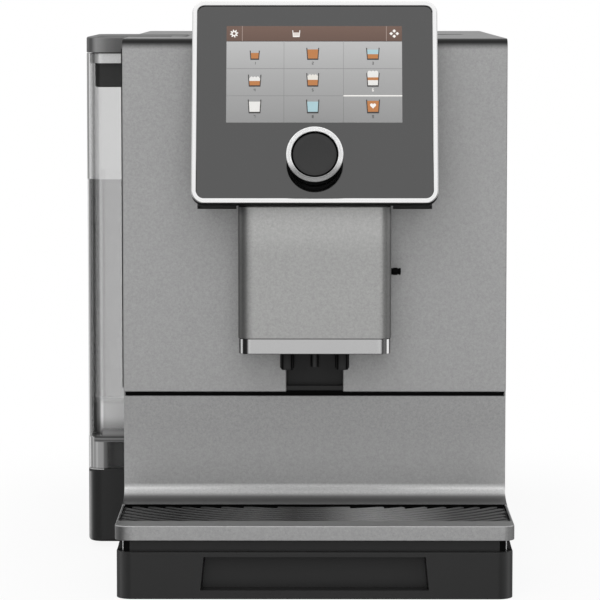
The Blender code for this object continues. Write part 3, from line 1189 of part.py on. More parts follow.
def make_water_circuit():
    """Pump, flow meter with its impeller, thermoblock and the hoses between them."""
    nose = PUMP_NOSE_RADIUS
    pump = turned("water_pump", [(0, PUMP_BACK), (nose, PUMP_BACK), (nose, PUMP_BACK - PUMP_NOSE),
                                 (PUMP_RADIUS, PUMP_BACK - PUMP_NOSE), (PUMP_RADIUS, PUMP_FRONT + PUMP_NOSE),
                                 (nose, PUMP_FRONT + PUMP_NOSE), (nose, PUMP_FRONT), (0, PUMP_FRONT)],
                  STEEL, (PUMP_X, 0, PUMP_AXIS_HEIGHT), "Y")
    middle = PUMP_FRONT + PUMP_LENGTH / 2
    join(pump, block((PUMP_X - PUMP_FOOT_WIDTH / 2, middle - PUMP_FOOT_LENGTH / 2, CHASSIS_TOP + FIT),
                     (PUMP_X + PUMP_FOOT_WIDTH / 2, middle + PUMP_FOOT_LENGTH / 2, PUMP_AXIS_HEIGHT)))
    axis = (METER_X, METER_Y, 0)
    top = METER_LOW + METER_HEIGHT
    floor = METER_LOW + METER_FLOOR
    turned("flow_meter", [(METER_RADIUS, top), (METER_RADIUS, METER_LOW), (0, METER_LOW), (0, floor),
                          (METER_BORE, floor), (METER_BORE, top), (METER_RADIUS, top)],
           WHITE_PLASTIC, axis)
    low = floor + RUN
    impeller = turned("flow_impeller", [(0, low + IMPELLER_HEIGHT), (IMPELLER_HUB, low + IMPELLER_HEIGHT),
                                        (IMPELLER_HUB, low), (0, low)], SILICONE, axis, steps=16)
    for i in range(IMPELLER_BLADES // 2):
        blade = block((-IMPELLER_RADIUS, -IMPELLER_BLADE / 2, low),
                      (IMPELLER_RADIUS, IMPELLER_BLADE / 2, low + IMPELLER_HEIGHT))
        blade.location = axis
        blade.rotation_euler = (0, 0, math.pi * i / (IMPELLER_BLADES // 2))
        join(impeller, blade)
    boiler_right = BOILER_LEFT + BOILER_WIDTH
    box("thermoblock", (BOILER_LEFT, BOILER_FRONT, BOILER_LOW),
        (boiler_right, BOILER_BACK, BOILER_LOW + BOILER_HEIGHT), ALUMINIUM, "Z", BOILER_ROUND)
    make_hoses(boiler_right, (BOILER_FRONT + BOILER_BACK) / 2)


def make_hoses(boiler_right, boiler_middle):
    """Silicone hoses from the tank's base through the meter, the pump and the thermoblock."""
    meter_left, meter_back = METER_X - METER_RADIUS - FIT, METER_Y + METER_RADIUS + FIT
    entry = RECESS_X - FIT + RUN
    height = SUCTION_HEIGHT
    tube("suction_hose", [(entry, VALVE_Y, height), ((entry + meter_left) / 2, VALVE_Y, height),
                          (meter_left, METER_Y, height)], HOSE_RADIUS, SILICONE)
    nose = PUMP_FRONT - FIT
    clear = RECESS_BACK + PANEL_WALL + HOSE_RADIUS
    tube("pump_hose", [(METER_X, meter_back, height), (METER_X, meter_back + PUMP_NOSE, height),
                       ((METER_X + PUMP_X) / 2, (clear + nose) / 2, (height + PUMP_AXIS_HEIGHT) / 2),
                       (PUMP_X, nose - PUMP_NOSE / 2, PUMP_AXIS_HEIGHT), (PUMP_X, nose, PUMP_AXIS_HEIGHT)],
         HOSE_RADIUS, SILICONE)
    tail = PUMP_BACK + FIT
    bend = tail + PUMP_NOSE
    boiler_left = BOILER_LEFT - FIT
    tube("pressure_hose", [(PUMP_X, tail, PUMP_AXIS_HEIGHT), (PUMP_X, tail + PUMP_NOSE / 2, PUMP_AXIS_HEIGHT),
                           ((PUMP_X + boiler_left) / 2, bend, PUMP_AXIS_HEIGHT),
                           (boiler_left - PUMP_NOSE / 2, boiler_middle, PUMP_AXIS_HEIGHT),
                           (boiler_left, boiler_middle, PUMP_AXIS_HEIGHT)], HOSE_RADIUS, SILICONE)
    end = (BREW_LEFT + (BREW_RIGHT - BREW_LEFT) * BREW_HOSE_SIDE_SHARE, BREW_BACK + FIT, BREW_HOSE_HEIGHT)
    start = boiler_right + FIT
    height = BREW_HOSE_HEIGHT
    tube("brew_hose", [(start, boiler_middle, height), (start + PUMP_NOSE, boiler_middle, height),
                       (end[0], (end[1] + boiler_middle) / 2, height),
                       (end[0], end[1] + PUMP_NOSE / 2, height), end], HOSE_RADIUS, SILICONE)


def make_electrics():
    """Power board on its posts, and the mains inlet block with its rocker switch."""
    back = REAR_INSIDE - BOARD_STANDOFF - FIT
    box("power_board", (BOARD_LEFT, back - BOARD_WALL, BOARD_LOW),
        (BOARD_LEFT + BOARD_WIDTH, back, BOARD_LOW + BOARD_HEIGHT), BOARD_GREEN)
    face = BODY_DEPTH - INLET_FACE_SINK
    right = INLET_LEFT + INLET_WIDTH
    inlet = box("mains_inlet", (INLET_LEFT, face - INLET_DEPTH, INLET_LOW),
                (right, face, INLET_LOW + INLET_HEIGHT), GLOSS_BLACK)
    middle = INLET_LOW + INLET_HEIGHT / 2
    socket_right = right - INLET_MARGIN
    socket_x = socket_right - SOCKET_WIDTH / 2
    well = (ROCKER_WIDTH / 2 + RUN, ROCKER_HEIGHT / 2 + ROCKER_WELL_CLEARANCE)
    rocker_x = INLET_LEFT + INLET_MARGIN + well[0]
    cut(inlet, block((socket_right - SOCKET_WIDTH, face - SOCKET_DEPTH, middle - SOCKET_HEIGHT / 2),
                     (socket_right, face + OVERRUN, middle + SOCKET_HEIGHT / 2)),
        block((rocker_x - well[0], face - ROCKER_WELL_DEPTH, middle - well[1]),
              (rocker_x + well[0], face + OVERRUN, middle + well[1])))
    for i in (-1, 0, 1):
        x = socket_x + i * BLADE_SPACING
        join(inlet, block((x - BLADE_WIDTH / 2, face - SOCKET_DEPTH - OVERRUN, middle - BLADE_HEIGHT / 2),
                          (x + BLADE_WIDTH / 2, face - SOCKET_DEPTH + BLADE_LENGTH, middle + BLADE_HEIGHT / 2)))
    half = (ROCKER_WIDTH / 2, ROCKER_DEPTH / 2, ROCKER_HEIGHT / 2)
    pivot = (rocker_x, face - OVERRUN - half[1], middle)
    rocker = box("mains_rocker", [-value for value in half], half, GLOSS_BLACK)
    rocker.data.transform(Matrix.Rotation(ROCKER_TILT, 4, "X"))
    rocker.location = pivot


make_chassis()
make_front_panel()
make_top_cover()
make_side_panels()
make_rear_panel()
make_drawer_bay()
make_drawer()
make_display()
make_spout()
make_spout_rail()
make_tank()
make_hopper()
make_grinder()
make_brew_unit()
make_water_circuit()
make_electrics()
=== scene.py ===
import json
import math

import bmesh
import bpy
import numpy as np
from bpy.props import FloatProperty, FloatVectorProperty, PointerProperty
from mathutils import Matrix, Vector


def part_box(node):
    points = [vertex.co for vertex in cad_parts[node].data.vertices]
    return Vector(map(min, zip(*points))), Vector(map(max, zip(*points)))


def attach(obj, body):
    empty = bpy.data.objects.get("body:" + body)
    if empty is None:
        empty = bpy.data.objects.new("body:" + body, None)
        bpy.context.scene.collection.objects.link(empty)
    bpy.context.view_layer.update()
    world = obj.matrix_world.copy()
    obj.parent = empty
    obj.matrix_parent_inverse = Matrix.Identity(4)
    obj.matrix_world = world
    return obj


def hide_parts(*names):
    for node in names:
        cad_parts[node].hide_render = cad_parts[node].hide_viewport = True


bl_info = {
    "name": "Bean to cup coffee machine",
    "version": (1, 0, 0),
    "blender": (4, 5, 0),
    "location": "View3D > Sidebar > Coffee machine",
    "description": "Dresses the machine's solids with its painted panels, display, spout, tank and drip drawer",
    "category": "Object",
}

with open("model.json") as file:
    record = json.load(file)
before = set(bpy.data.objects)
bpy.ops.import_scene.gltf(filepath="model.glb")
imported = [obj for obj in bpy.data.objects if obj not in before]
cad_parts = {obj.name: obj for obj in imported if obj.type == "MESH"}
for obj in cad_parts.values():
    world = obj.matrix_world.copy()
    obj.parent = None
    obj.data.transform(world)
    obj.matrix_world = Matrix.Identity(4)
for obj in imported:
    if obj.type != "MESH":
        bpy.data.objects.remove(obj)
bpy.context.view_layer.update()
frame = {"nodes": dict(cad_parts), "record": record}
MM = 0.001


def box_of(node):
    """A node's lowest and highest corners as arrays, in metres."""
    low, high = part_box(node)
    return np.array(low), np.array(high)


def middle_of(node):
    """The middle of a node's box seen from above: (x, y)."""
    low, high = box_of(node)
    return (low[:2] + high[:2]) / 2


PANEL_LOW, PANEL_HIGH = box_of("front_panel")
CENTRE_X = (PANEL_LOW[0] + PANEL_HIGH[0]) / 2
FACE_Y = PANEL_LOW[1]
DISPLAY_TILT = math.radians(17.6)
DISPLAY_DEPTH = 4.5 * MM
KNOB_UP = 29.0 * MM
LIP_TOP = box_of("drip_grille")[1][2] + 0.8 * MM
TRAY_LEDGE = 30.0 * MM
TANK_CORNER, TANK_WALL, TANK_FLOOR, TANK_FOOT = 10.0 * MM, 2.0 * MM, 75.4 * MM, 54.0 * MM
WELD = 0.004 * MM
CAMERA_PLACE, CAMERA_DOWN, CAMERA_TURN = (CENTRE_X, -2.3585, 0.3808), 0.09118, 0.0043


# ---------------------------------------------------------------- shapes

def plan(low, high, corner, inset=0.0, steps=9):
    """Rounded rectangle, anticlockwise from the back right: quarter circles about centres one radius inside."""
    radii = np.broadcast_to(np.asarray(corner, float), 4)
    turn = np.linspace(0.0, np.pi / 2, steps)
    arcs = []
    for quarter, (at_x, at_y, side_x, side_y) in enumerate(((high[0], high[1], -1, -1), (low[0], high[1], 1, -1),
                                                            (low[0], low[1], 1, 1), (high[0], low[1], -1, 1))):
        left = max(radii[quarter] - inset, 0.02 * MM)
        angle = turn + quarter * np.pi / 2
        arcs.append(np.stack([at_x + side_x * (inset + left) + left * np.cos(angle),
                              at_y + side_y * (inset + left) + left * np.sin(angle)], 1))
    return np.concatenate(arcs)


def circle(radius, steps=64):
    """Points of a circle, anticlockwise."""
    angle = np.linspace(0.0, 2 * np.pi, steps, endpoint=False)
    return radius * np.stack([np.cos(angle), np.sin(angle)], 1)


def arc(centre, radius, start, end, steps=7):
    """Points of an arc about a centre, from one angle in degrees to another: a list of (across, height)."""
    angle = np.radians(np.linspace(start, end, steps))
    return list(zip(centre[0] + radius * np.cos(angle), centre[1] + radius * np.sin(angle)))


def at_height(outline, height):
    """A flat outline of (x, y) at one height."""
    return np.column_stack([outline, np.full(len(outline), height)])


def at_across(section, x):
    """A section of (y, z) at one place across."""
    return np.column_stack([np.full(len(section), x), section])


def stacked(low, high, corner, profile, steps=9):
    """Rows of one rounded outline: each (inset, height) of the profile gives the outline drawn in by the inset."""
    return np.array([at_height(plan(low, high, corner, inset, steps), height) for inset, height in profile])


def turned(profile, steps=64):
    """Rows of a turned shape: each (radius, height) of the profile becomes a circle at that height."""
    return np.array([at_height(circle(max(radius, 0.01 * MM), steps), height) for radius, height in profile])


def edges(low, high, low_round, high_round, steps=6):
    """Profile of a block's side with both its edges rounded by quarter circles: a list of (inset, height)."""
    below = arc((low_round, low + low_round), low_round, 270, 180, steps) if low_round else [(0.0, low)]
    above = arc((high_round, high - high_round), high_round, 180, 90, steps) if high_round else [(0.0, high)]
    return below + above


def skin(rows, looped=False):
    """Points and faces of rows of closed rings: quads from ring to ring, and a flat face on each end unless looped."""
    rows = np.asarray(rows, float)
    count, width = rows.shape[:2]
    ring = np.arange(count if looped else count - 1)[:, None] * width
    along = np.arange(width)[None]
    ahead, beside = (ring + width) % (count * width), (along + 1) % width
    faces = np.stack([ring + along, ring + beside, ahead + beside, ahead + along], -1).reshape(-1, 4).tolist()
    if not looped:
        faces += [list(range(width))[::-1], list(range((count - 1) * width, count * width))]
    return rows.reshape(-1, 3), faces


def moved(shape, matrix=None, by=(0.0, 0.0, 0.0)):
    """The same faces with their points turned by a matrix's rows and then shifted."""
    points, faces = shape
    if matrix is not None:
        points = points @ np.array(matrix)[:3, :3].T + np.array(matrix)[:3, 3]
    return points + np.array(by), faces


def together(*shapes):
    """Several shapes as one list of points and faces."""
    points, faces, start = [], [], 0
    for part_points, part_faces in shapes:
        points.append(part_points)
        faces += [[index + start for index in face] for face in part_faces]
        start += len(part_points)
    return np.concatenate(points), faces


def block(low, high, corner=0.0, low_round=0.0, high_round=0.0, steps=9):
    """A box between two corners, its upright edges rounded by the corner radius and its rims by their own."""
    return skin(stacked(low, high, corner, edges(low[2], high[2], low_round, high_round), steps))


def narrowed(low, high, inset, low_z, high_z):
    """Two corners drawn in by an inset on all four sides, each at a height of its own."""
    return (low[0] + inset, low[1] + inset, low_z), (high[0] - inset, high[1] - inset, high_z)


def rod(radius, low, high, steps, by):
    """An upright cylinder between two heights about a point (x, y)."""
    return moved(skin(turned([(radius, low), (radius, high)], steps)), by=(*by, 0.0))


def mesh_of(name, shape):
    """A mesh of points and faces."""
    mesh = bpy.data.meshes.new(name)
    mesh.from_pydata(np.asarray(shape[0], float).tolist(), [], shape[1])
    return mesh


def mended(mesh, weld=WELD, thin=0.0, flat=0.0):
    """The mesh welded, freed of thin faces and of edges across flat ones, its faces turned outwards."""
    bm = bmesh.new()
    bm.from_mesh(mesh)
    if weld:
        bmesh.ops.remove_doubles(bm, verts=bm.verts, dist=weld)
    if thin:
        bmesh.ops.dissolve_degenerate(bm, edges=bm.edges, dist=thin)
    if flat:
        bmesh.ops.dissolve_limit(bm, angle_limit=flat, verts=bm.verts, edges=bm.edges)
    bmesh.ops.recalc_face_normals(bm, faces=bm.faces)
    bm.to_mesh(mesh)
    bm.free()
    return mesh


def linked(name, data):
    """An object of a mesh, lamp or camera, in the scene."""
    obj = bpy.data.objects.new(name, data)
    bpy.context.scene.collection.objects.link(obj)
    return obj


def combined(shape, others, operation):
    """Union or difference of closed shapes, as points and faces."""
    objects = [linked("operand", mended(mesh_of("operand", each))) for each in (shape, *others)]
    for other in objects[1:]:
        modifier = objects[0].modifiers.new("combine", "BOOLEAN")
        modifier.operation, modifier.object, modifier.solver = operation, other, "EXACT"
    result = objects[0].evaluated_get(bpy.context.evaluated_depsgraph_get()).to_mesh()
    points = np.empty(len(result.vertices) * 3)
    result.vertices.foreach_get("co", points)
    faces = [list(face.vertices) for face in result.polygons]
    for obj in objects:
        mesh = obj.data
        bpy.data.objects.remove(obj)
        bpy.data.meshes.remove(mesh)
    return points.reshape(-1, 3), faces


def united(shape, *others):
    """One closed shape out of several that overlap."""
    return combined(shape, others, "UNION")


def without(shape, *cutters):
    """A closed shape less its cutters."""
    return combined(shape, cutters, "DIFFERENCE")


def dressed(name, mesh, finish, body, nodes, crease, bevel, segments, bevel_from):
    """Object of a mesh with its finish and its sharp edges rounded, riding on its body in place of its nodes."""
    material, own_slot = finish_of(finish)
    mesh.shade_smooth()
    mesh.set_sharp_from_angle(angle=math.radians(crease))
    mesh.materials.clear()
    mesh.materials.append(material)
    obj = linked(name, mesh)
    if bevel:
        rounded = obj.modifiers.new("Edges", "BEVEL")
        rounded.width, rounded.segments, rounded.limit_method = bevel, segments, "ANGLE"
        rounded.angle_limit = math.radians(bevel_from)
    obj.modifiers.new("Flat faces", "WEIGHTED_NORMAL").keep_sharp = True
    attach(obj, body)
    if nodes:
        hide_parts(*nodes)


def piece(name, shape, finish, body, *nodes, slot=None, crease=32.0, bevel=None):
    """A new piece from points and faces."""
    mesh = mended(mesh_of(name, shape), thin=0.002 * MM)
    dressed(name, mesh, finish, body, nodes, crease, bevel, segments=3, bevel_from=40)


def dressed_copy(node, finish, body, bevel):
    """A node's own shape, welded and with its sharp edges rounded, in place of the plain solid."""
    source = frame["nodes"][node]
    mesh = source.data.copy()
    mesh.transform(source.matrix_world)
    mesh = mended(mesh, 0.01 * MM, flat=math.radians(0.5))
    dressed(node + "_finished", mesh, finish, body, (node,), 34, bevel, segments=2, bevel_from=34)


# ---------------------------------------------------------------- painted light and shade by place

# painted highlights and painted shade, bars and bands that light leaves in rounded, clear and plated edges:
# (millimetres from an edge, share of the colour); the seam's heights start at the tank's floor, and the sheen's places
# are shares of its width
SWEEP_SHADES = ((0.0, 0.9), (0.1, 0.82), (0.5, 0.98), (1.5, 1.66), (4.6, 1.7), (5.7, 1.55), (9.7, 0.5), (11.3, 0.34),
                (14.7, 0.15), (19.1, 0.09), (27.2, 0.16), (27.4, 0.05), (29.7, 0.03), (30.0, 1.0))
STRIP_LEFT = ((0.0, 0.15), (0.9, 0.15), (1.5, 1.3), (2.1, 1.3), (2.8, 0.18), (4.6, 0.2), (5.6, 0.3), (6.3, 1.1),
              (8.0, 1.0))
STRIP_RIGHT = ((0.0, 0.2), (0.5, 0.3), (1.2, 1.9), (1.9, 1.9), (2.4, 1.6), (4.2, 1.5), (4.9, 0.5), (5.6, 0.5),
               (6.4, 1.1), (9.0, 1.0))
GRILLE_SHEEN = ((0.0, 0.34), (0.14, 0.16), (0.35, 0.56), (0.45, 0.28), (0.52, 0.56), (0.6, 1.4), (0.655, 1.7),
                (0.76, 1.3), (0.86, 0.53), (1.0, 0.44))
NOZZLE_BANDS = ((0.0, 1.9), (2.2, 1.9), (2.5, 0.02), (3.2, 0.02), (3.5, 1.0), (3.9, 1.0), (4.2, 0.02), (6.0, 0.02))
PIN_BANDS = ((0.0, 1.7), (1.1, 1.7), (1.5, 0.02), (2.7, 0.02), (3.1, 1.0), (4.0, 1.0))
DRY_CORNER = ((0.0, 0.5), (1.0, 0.7), (1.7, 0.69), (2.05, 0.24), (2.4, 0.16), (3.0, 0.15), (5.05, 0.48), (6.4, 0.28),
              (7.7, 0.25), (9.1, 0.08), (12.5, 0.13))
WET_CORNER = ((0.0, 0.1), (0.9, 0.12), (1.3, 0.75), (2.3, 0.74), (3.0, 0.56), (5.05, 0.7), (6.4, 0.4), (7.7, 0.36),
              (9.1, 0.02), (9.8, 0.0), (11.1, 0.15), (12.5, 0.12))
SKIRT_SHADES = ((0.0, 1.7), (1.6, 1.6), (2.2, 0.38), (3.0, 0.58), (3.6, 0.92), (4.3, 0.57), (5.0, 0.6), (5.7, 0.92),
                (6.4, 0.95), (7.0, 0.7), (9.8, 0.7), (10.4, 0.63), (11.1, 0.3), (13.6, 0.15))
SEAM_SHADES = ((-3.0, 0.31), (-2.4, 0.31), (-2.1, 0.18), (-1.7, 0.18), (-1.4, 0.38), (-0.3, 0.42), (-0.1, 0.1),
               (0.6, 0.12), (1.0, 0.27), (2.1, 0.44), (6.6, 0.62))
LIP_LEFT = ((0.0, 0.9), (0.6, 0.6), (1.4, 0.32), (2.6, 0.3), (4.0, 0.36), (9.0, 0.85), (12.0, 1.0))
LIP_RIGHT = ((0.0, 0.8), (0.8, 0.58), (1.5, 0.5), (4.5, 0.95), (6.0, 1.0))
LID_CORNER = ((0.0, 1.1), (0.9, 0.95), (1.7, 0.6), (2.4, 0.42), (3.0, 0.4), (3.7, 0.44), (5.7, 1.3), (7.0, 1.6),
              (14.0, 0.88), (20.0, 0.62), (24.0, 0.57), (30.0, 1.0))


# each takes the graph and the place, so that a finish can call any of them, and gives the share of its colour that
# paints light or shade there

def crown_shade(g, x, y, z):
    """Front panel: painted shade, nearly black, where its crown turns back."""
    return 1 - (z - PANEL_HIGH[2]).rise(-7.6, -2.2) * (y - FACE_Y).fall(4.2, 5.4) * 0.97


def sweep_shade(g, x, y, z):
    """Drawer front: painted highlight and shade in bands down its sweep, painted shade as a black well round the
    grille, on a dim lip top and at the lip's deeper ends, and painted light low down.
    """
    (low, high), (front_low, front_high) = box_of("drip_grille"), box_of("drawer_front")
    into, past, over = y - low[1], y - high[1], z - LIP_TOP
    aside = abs(x - CENTRE_X) - (high[0] - CENTRE_X)
    well = (into.rise(-0.6, 0.0) - past.rise(0.5, 0.8)) * aside.fall(0.6, 0.9) * over.fall(-0.25, -0.05)
    top = over.rise(-0.25, -0.02) * into.fall(-0.4, 0.0)
    beside = over.rise(-0.3, -0.1) * into.rise(0.0, 2.0) * past.fall(-2.0, 0.0) * aside.fall(1.1, 1.4)
    face = over.fall(-0.8, -0.5) * into.fall(-6.0, -4.0)
    ends = g.profile(x - front_low[0], LIP_LEFT) * g.profile(front_high[0] - x, LIP_RIGHT)
    return (g.profile(FACE_Y - y, SWEEP_SHADES) * (1 - well * 0.97) * (1 - top * 0.55) * (1 - beside * 0.85)
            * (1 - face * (1 - ends)) * (1 - face * 0.22) * (1 + z.fall(60, 100) * 0.16))


def spout_shade(g, x, y, z):
    """Spout cover: painted shade towards both sides and in its top corners, painted light towards its top."""
    low, high = box_of("spout_cover")
    left, right, under = x - low[0], high[0] - x, z - high[2]
    sides = (0.24 + left.rise(2.0, 10.5) * 0.76) * (0.38 + right.rise(0.5, 8.5) * 0.62)
    corners = under.rise(-7.0, -2.0) * (1 - left.rise(2.0, 5.0) * right.rise(0.5, 3.0))
    front = (y - low[1]).fall(8.0, 13.0)
    return (1 + under.rise(-34.0, -4.0) * 0.34) * (1 - front * (1 - sides)) * (1 - corners * 0.5)


def strip_shade(g, x, y, z):
    """Spout strip: painted reflections as dark and bright bars in its two front corners."""
    low, high = box_of("spout_trim")
    width = (high[0] - low[0]) / MM
    bars = (*STRIP_LEFT, *((width - at, height) for at, height in reversed(STRIP_RIGHT)))
    return 1 - (y - low[1]).fall(8.0, 12.0) * (1 - g.profile(x - low[0], bars))


def nozzle_shade(g, x, y, z):
    """Side nozzles: painted highlight and shade as a pale middle between black bands, on both alike."""
    low, high = box_of("nozzle_right")
    return g.profile(abs(abs(x - CENTRE_X) - ((low[0] + high[0]) / 2 - CENTRE_X)), NOZZLE_BANDS)


def pin_shade(g, x, y, z):
    """Carriage: the same painted highlight and shade bands on its centre nozzle, below the strip."""
    below = (z - box_of("nozzle_right")[1][2]).fall(-12.0, -11.5)
    return 1 - (1 - g.profile(abs(x - CENTRE_X), PIN_BANDS)) * below


def grille_shade(g, x, y, z):
    """Grille: a painted sheen and painted shade that come and go across it."""
    low, high = box_of("drip_grille")
    return g.profile((x - low[0]) / (high[0] - low[0]), GRILLE_SHEEN, 1.0) * 1.6


def tray_shade(g, x, y, z):
    """Tray block: painted highlights on the edges of its two front corners, up to the ledge."""
    low, high = box_of("drip_tray")
    shade = (z - TRAY_LEDGE).fall(-0.8, 0.0) * (y - low[1]).fall(2.8, 4.2)
    left, right = (near * near * 11 + wide * 1.7 for near, wide in
                   ((reach.fall(0.0, 3.6), reach.fall(0.0, 9.0)) for reach in (x - low[0], high[0] - x)))
    return (1 + left * shade) * (1 + right * shade)


def foot_shade(g, x, y, z):
    """Tank base: a painted highlight as a bright shelf under the tank's wall and on its pale outer corner."""
    low = box_of("tank_base")[0]
    reach, over = x - low[0], z - TANK_FOOT
    shelf = over.rise(-0.6, -0.4) * over.fall(0.4, 1.0) * reach.fall(10.6, 10.9)
    corner = reach.fall(0.0, 4.9) * over.fall(-2.5, -1.5)
    return (1 + shelf * 24) * (1 + corner * corner * corner * (y - low[1]).fall(6.0, 9.0) * 22)


def ring_shade(g, x, y, z):
    """Knob ring: painted shade, deeper in its lower part."""
    return 0.36 + (z - box_of("knob_ring")[0][2]).rise(6.0, 15.0) * 0.64


def lid_shade(g, x, y, z):
    """Tank lid: painted highlight and shade in bands in its front corner, below the upper edge."""
    low, high = box_of("tank_lid")
    front = (y - low[1]).fall(9.0, 12.0) * (z - high[2]).fall(-1.2, -0.6)
    return 1 - front * (1 - g.profile(x - low[0], LID_CORNER))


def tank_bands(g, x, y, z, density, colour):
    """Tank wall: painted highlight and shade in bands in the front corner, wet and dry, over the seam at its floor and
    on the skirt below, and a paler veil below the floor as painted light.
    """
    low = box_of("water_tank")[0]
    reach, into, over = x - low[0], y - low[1], z - TANK_FLOOR
    dry = (z - look("tank").level).rise(-0.2, 0.2)
    corner = into.fall(9.0, 12.0) * reach.fall(12.0, 13.0) * over.rise(-1.4, -0.4)
    bands = g.profile(reach, DRY_CORNER) * dry + g.profile(reach, WET_CORNER) * (1 - dry)
    ahead, above = into.fall(9.0, 10.0), over.rise(0.6, 1.2)
    inward = reach.rise(3.5, 5.5) * (1 - above) + reach.rise(8.6, 10.4) * above
    ledge = ahead * over.rise(-3.1, -2.8) * over.fall(7.6, 8.1) * inward
    seam = ledge * over.fall(3.1, 7.1)
    skirt = ahead * over.fall(0.0, 0.4) * reach.fall(13.2, 13.6) * (1 - seam)
    for share, dense in ((corner, bands), (skirt + seam, 1)):
        density = density * (1 - share) + share * dense
    colour = g.blend(over.rise(-0.4, 0.6), linear(100), colour)
    for share, tone in ((skirt, g.profile(reach, SKIRT_SHADES)), (ledge, g.profile(over, SEAM_SHADES))):
        colour = g.blend(share, colour, g.blend(tone * 0.5, (0, 0, 0), linear(250)))
    return density, colour


# ---------------------------------------------------------------- finishes

class Pin:
    """A node's output that adds, subtracts, multiplies and divides like a number, by adding Math nodes."""

    def __init__(self, graph, socket):
        self.graph, self.socket = graph, socket

    def __add__(self, other):
        return self.graph.maths("ADD", self, other)

    def __sub__(self, other):
        return self.graph.maths("SUBTRACT", self, other)

    def __mul__(self, other):
        return self.graph.maths("MULTIPLY", self, other)

    def __truediv__(self, other):
        return self.graph.maths("DIVIDE", self, other)

    def __pow__(self, other):
        return self.graph.maths("POWER", self, other)

    def __radd__(self, other):
        return self.graph.maths("ADD", other, self)

    def __rsub__(self, other):
        return self.graph.maths("SUBTRACT", other, self)

    def __rmul__(self, other):
        return self.graph.maths("MULTIPLY", other, self)

    def __abs__(self):
        return self.graph.maths("ABSOLUTE", self)

    def ramp(self, start, end):
        """0 below start and 1 above end, with a soft climb between."""
        return self.graph.add("ShaderNodeMapRange", {"interpolation_type": "SMOOTHSTEP"},
                              {"Value": self, "From Min": start, "From Max": end})

    def rise(self, start, end):
        """The same climb between two places in millimetres."""
        return self.ramp(start * MM, end * MM)

    def fall(self, start, end):
        """1 below start and 0 above end, in millimetres."""
        return 1 - self.rise(start, end)


class Graph:
    """Nodes of one material, or of the world."""

    def __init__(self, owner):
        owner.use_nodes = True
        self.tree, self.where = owner.node_tree, None
        self.tree.nodes.clear()

    def add(self, kind, settings=(), pins=(), out=0):
        """Any node: its type, its settings (a ramp's stops among them), and the values or links of its sockets."""
        node = self.tree.nodes.new(kind)
        for key, value in dict(settings).items():
            if key == "stops":
                for index, (at, colour) in enumerate(value):
                    stop = node.color_ramp.elements[index] if index < 2 else node.color_ramp.elements.new(at)
                    stop.position, stop.color = at, colour
            else:
                setattr(node, key, value)
        for key, value in dict(pins).items():
            if isinstance(value, Pin):
                self.tree.links.new(value.socket, node.inputs[key])
            else:
                node.inputs[key].default_value = value
        return Pin(self, node.outputs[out])

    def maths(self, operation, first, second=0.0):
        """A Math node of two values."""
        return self.add("ShaderNodeMath", {"operation": operation}, {0: first, 1: second})

    def place(self):
        """Object coordinates, in metres."""
        self.where = self.where or self.add("ShaderNodeTexCoord", out="Object")
        return self.where

    def split(self, vector=None):
        """The three numbers of a vector, or else of the place."""
        node = self.add("ShaderNodeSeparateXYZ", pins={0: vector or self.place()}).socket.node
        return [Pin(self, node.outputs[index]) for index in range(3)]

    def noise(self, scale, detail, stretch=None, rough=0.5):
        """Noise from 0 to 1, its scale in waves a metre, stretched along an axis where a vector is given."""
        where = self.place()
        if stretch:
            where = self.add("ShaderNodeVectorMath", {"operation": "MULTIPLY"}, {0: where, 1: stretch})
        return self.add("ShaderNodeTexNoise", pins={"Vector": where, "Scale": scale, "Detail": detail,
                                                    "Roughness": rough})

    def blend(self, share, first, second, mode="MIX"):
        """Two colours mixed by a share."""
        first, second = (c if isinstance(c, Pin) else (*c[:3], 1.0) for c in (first, second))
        return self.add("ShaderNodeMix", {"data_type": "RGBA", "blend_type": mode}, {0: share, 6: first, 7: second},
                        out=2)

    def tinted(self, colour, shade, part=None):
        """A colour times a shade, and times a part's painted light and shade by place."""
        if part:
            shade = shade * part(self, *self.split())
        grey = self.add("ShaderNodeCombineColor", pins={0: shade, 1: shade, 2: shade})
        return self.blend(1.0, colour, grey, "MULTIPLY")

    def profile(self, value, stops, unit=MM):
        """Straight lines between stops of (value in the unit, height up to 2)."""
        start, end = stops[0][0] * unit, stops[-1][0] * unit
        share = self.add("ShaderNodeMapRange", pins={"Value": value, "From Min": start, "From Max": end})
        stops = [((at * unit - start) / (end - start), (height / 2,) * 3 + (1.0,)) for at, height in stops]
        return self.add("ShaderNodeValToRGB", {"stops": stops}, {"Fac": share}) * 2.0

    def rays(self, *names):
        """What a ray is, by the names of its kinds: 1 where it is one of them and else 0."""
        node = self.add("ShaderNodeLightPath").socket.node
        return [Pin(self, node.outputs[name]) for name in names]

    def bump(self, height, distance, strength):
        """A normal raised by a height, its distance in millimetres."""
        return self.add("ShaderNodeBump", pins={"Height": height, "Distance": distance * MM, "Strength": strength})

    def surface(self, **values):
        """A Principled shader; names have _ for a space."""
        return self.add("ShaderNodeBsdfPrincipled", pins={
            key.replace("_", " "): (*value, 1.0) if isinstance(value, tuple) else value
            for key, value in values.items()})

    def mixed(self, share, first, second):
        """Two shaders mixed by a share."""
        return self.add("ShaderNodeMixShader", pins={0: share, 1: first, 2: second})

    def output(self, shader, kind="Material"):
        """Joins a shader to the output."""
        node = self.tree.nodes.new("ShaderNodeOutput" + kind)
        self.tree.links.new(shader.socket, node.inputs["Surface"])


def linear(*shades):
    """Linear colour of screen shades from 0 to 255: the share over 255, less its foot, raised to 2.4."""
    if len(shades) == 1:
        shades = shades * 3
    return tuple(s / 255 / 12.92 if s / 255 <= 0.04045 else ((s / 255 + 0.055) / 1.055) ** 2.4 for s in shades)


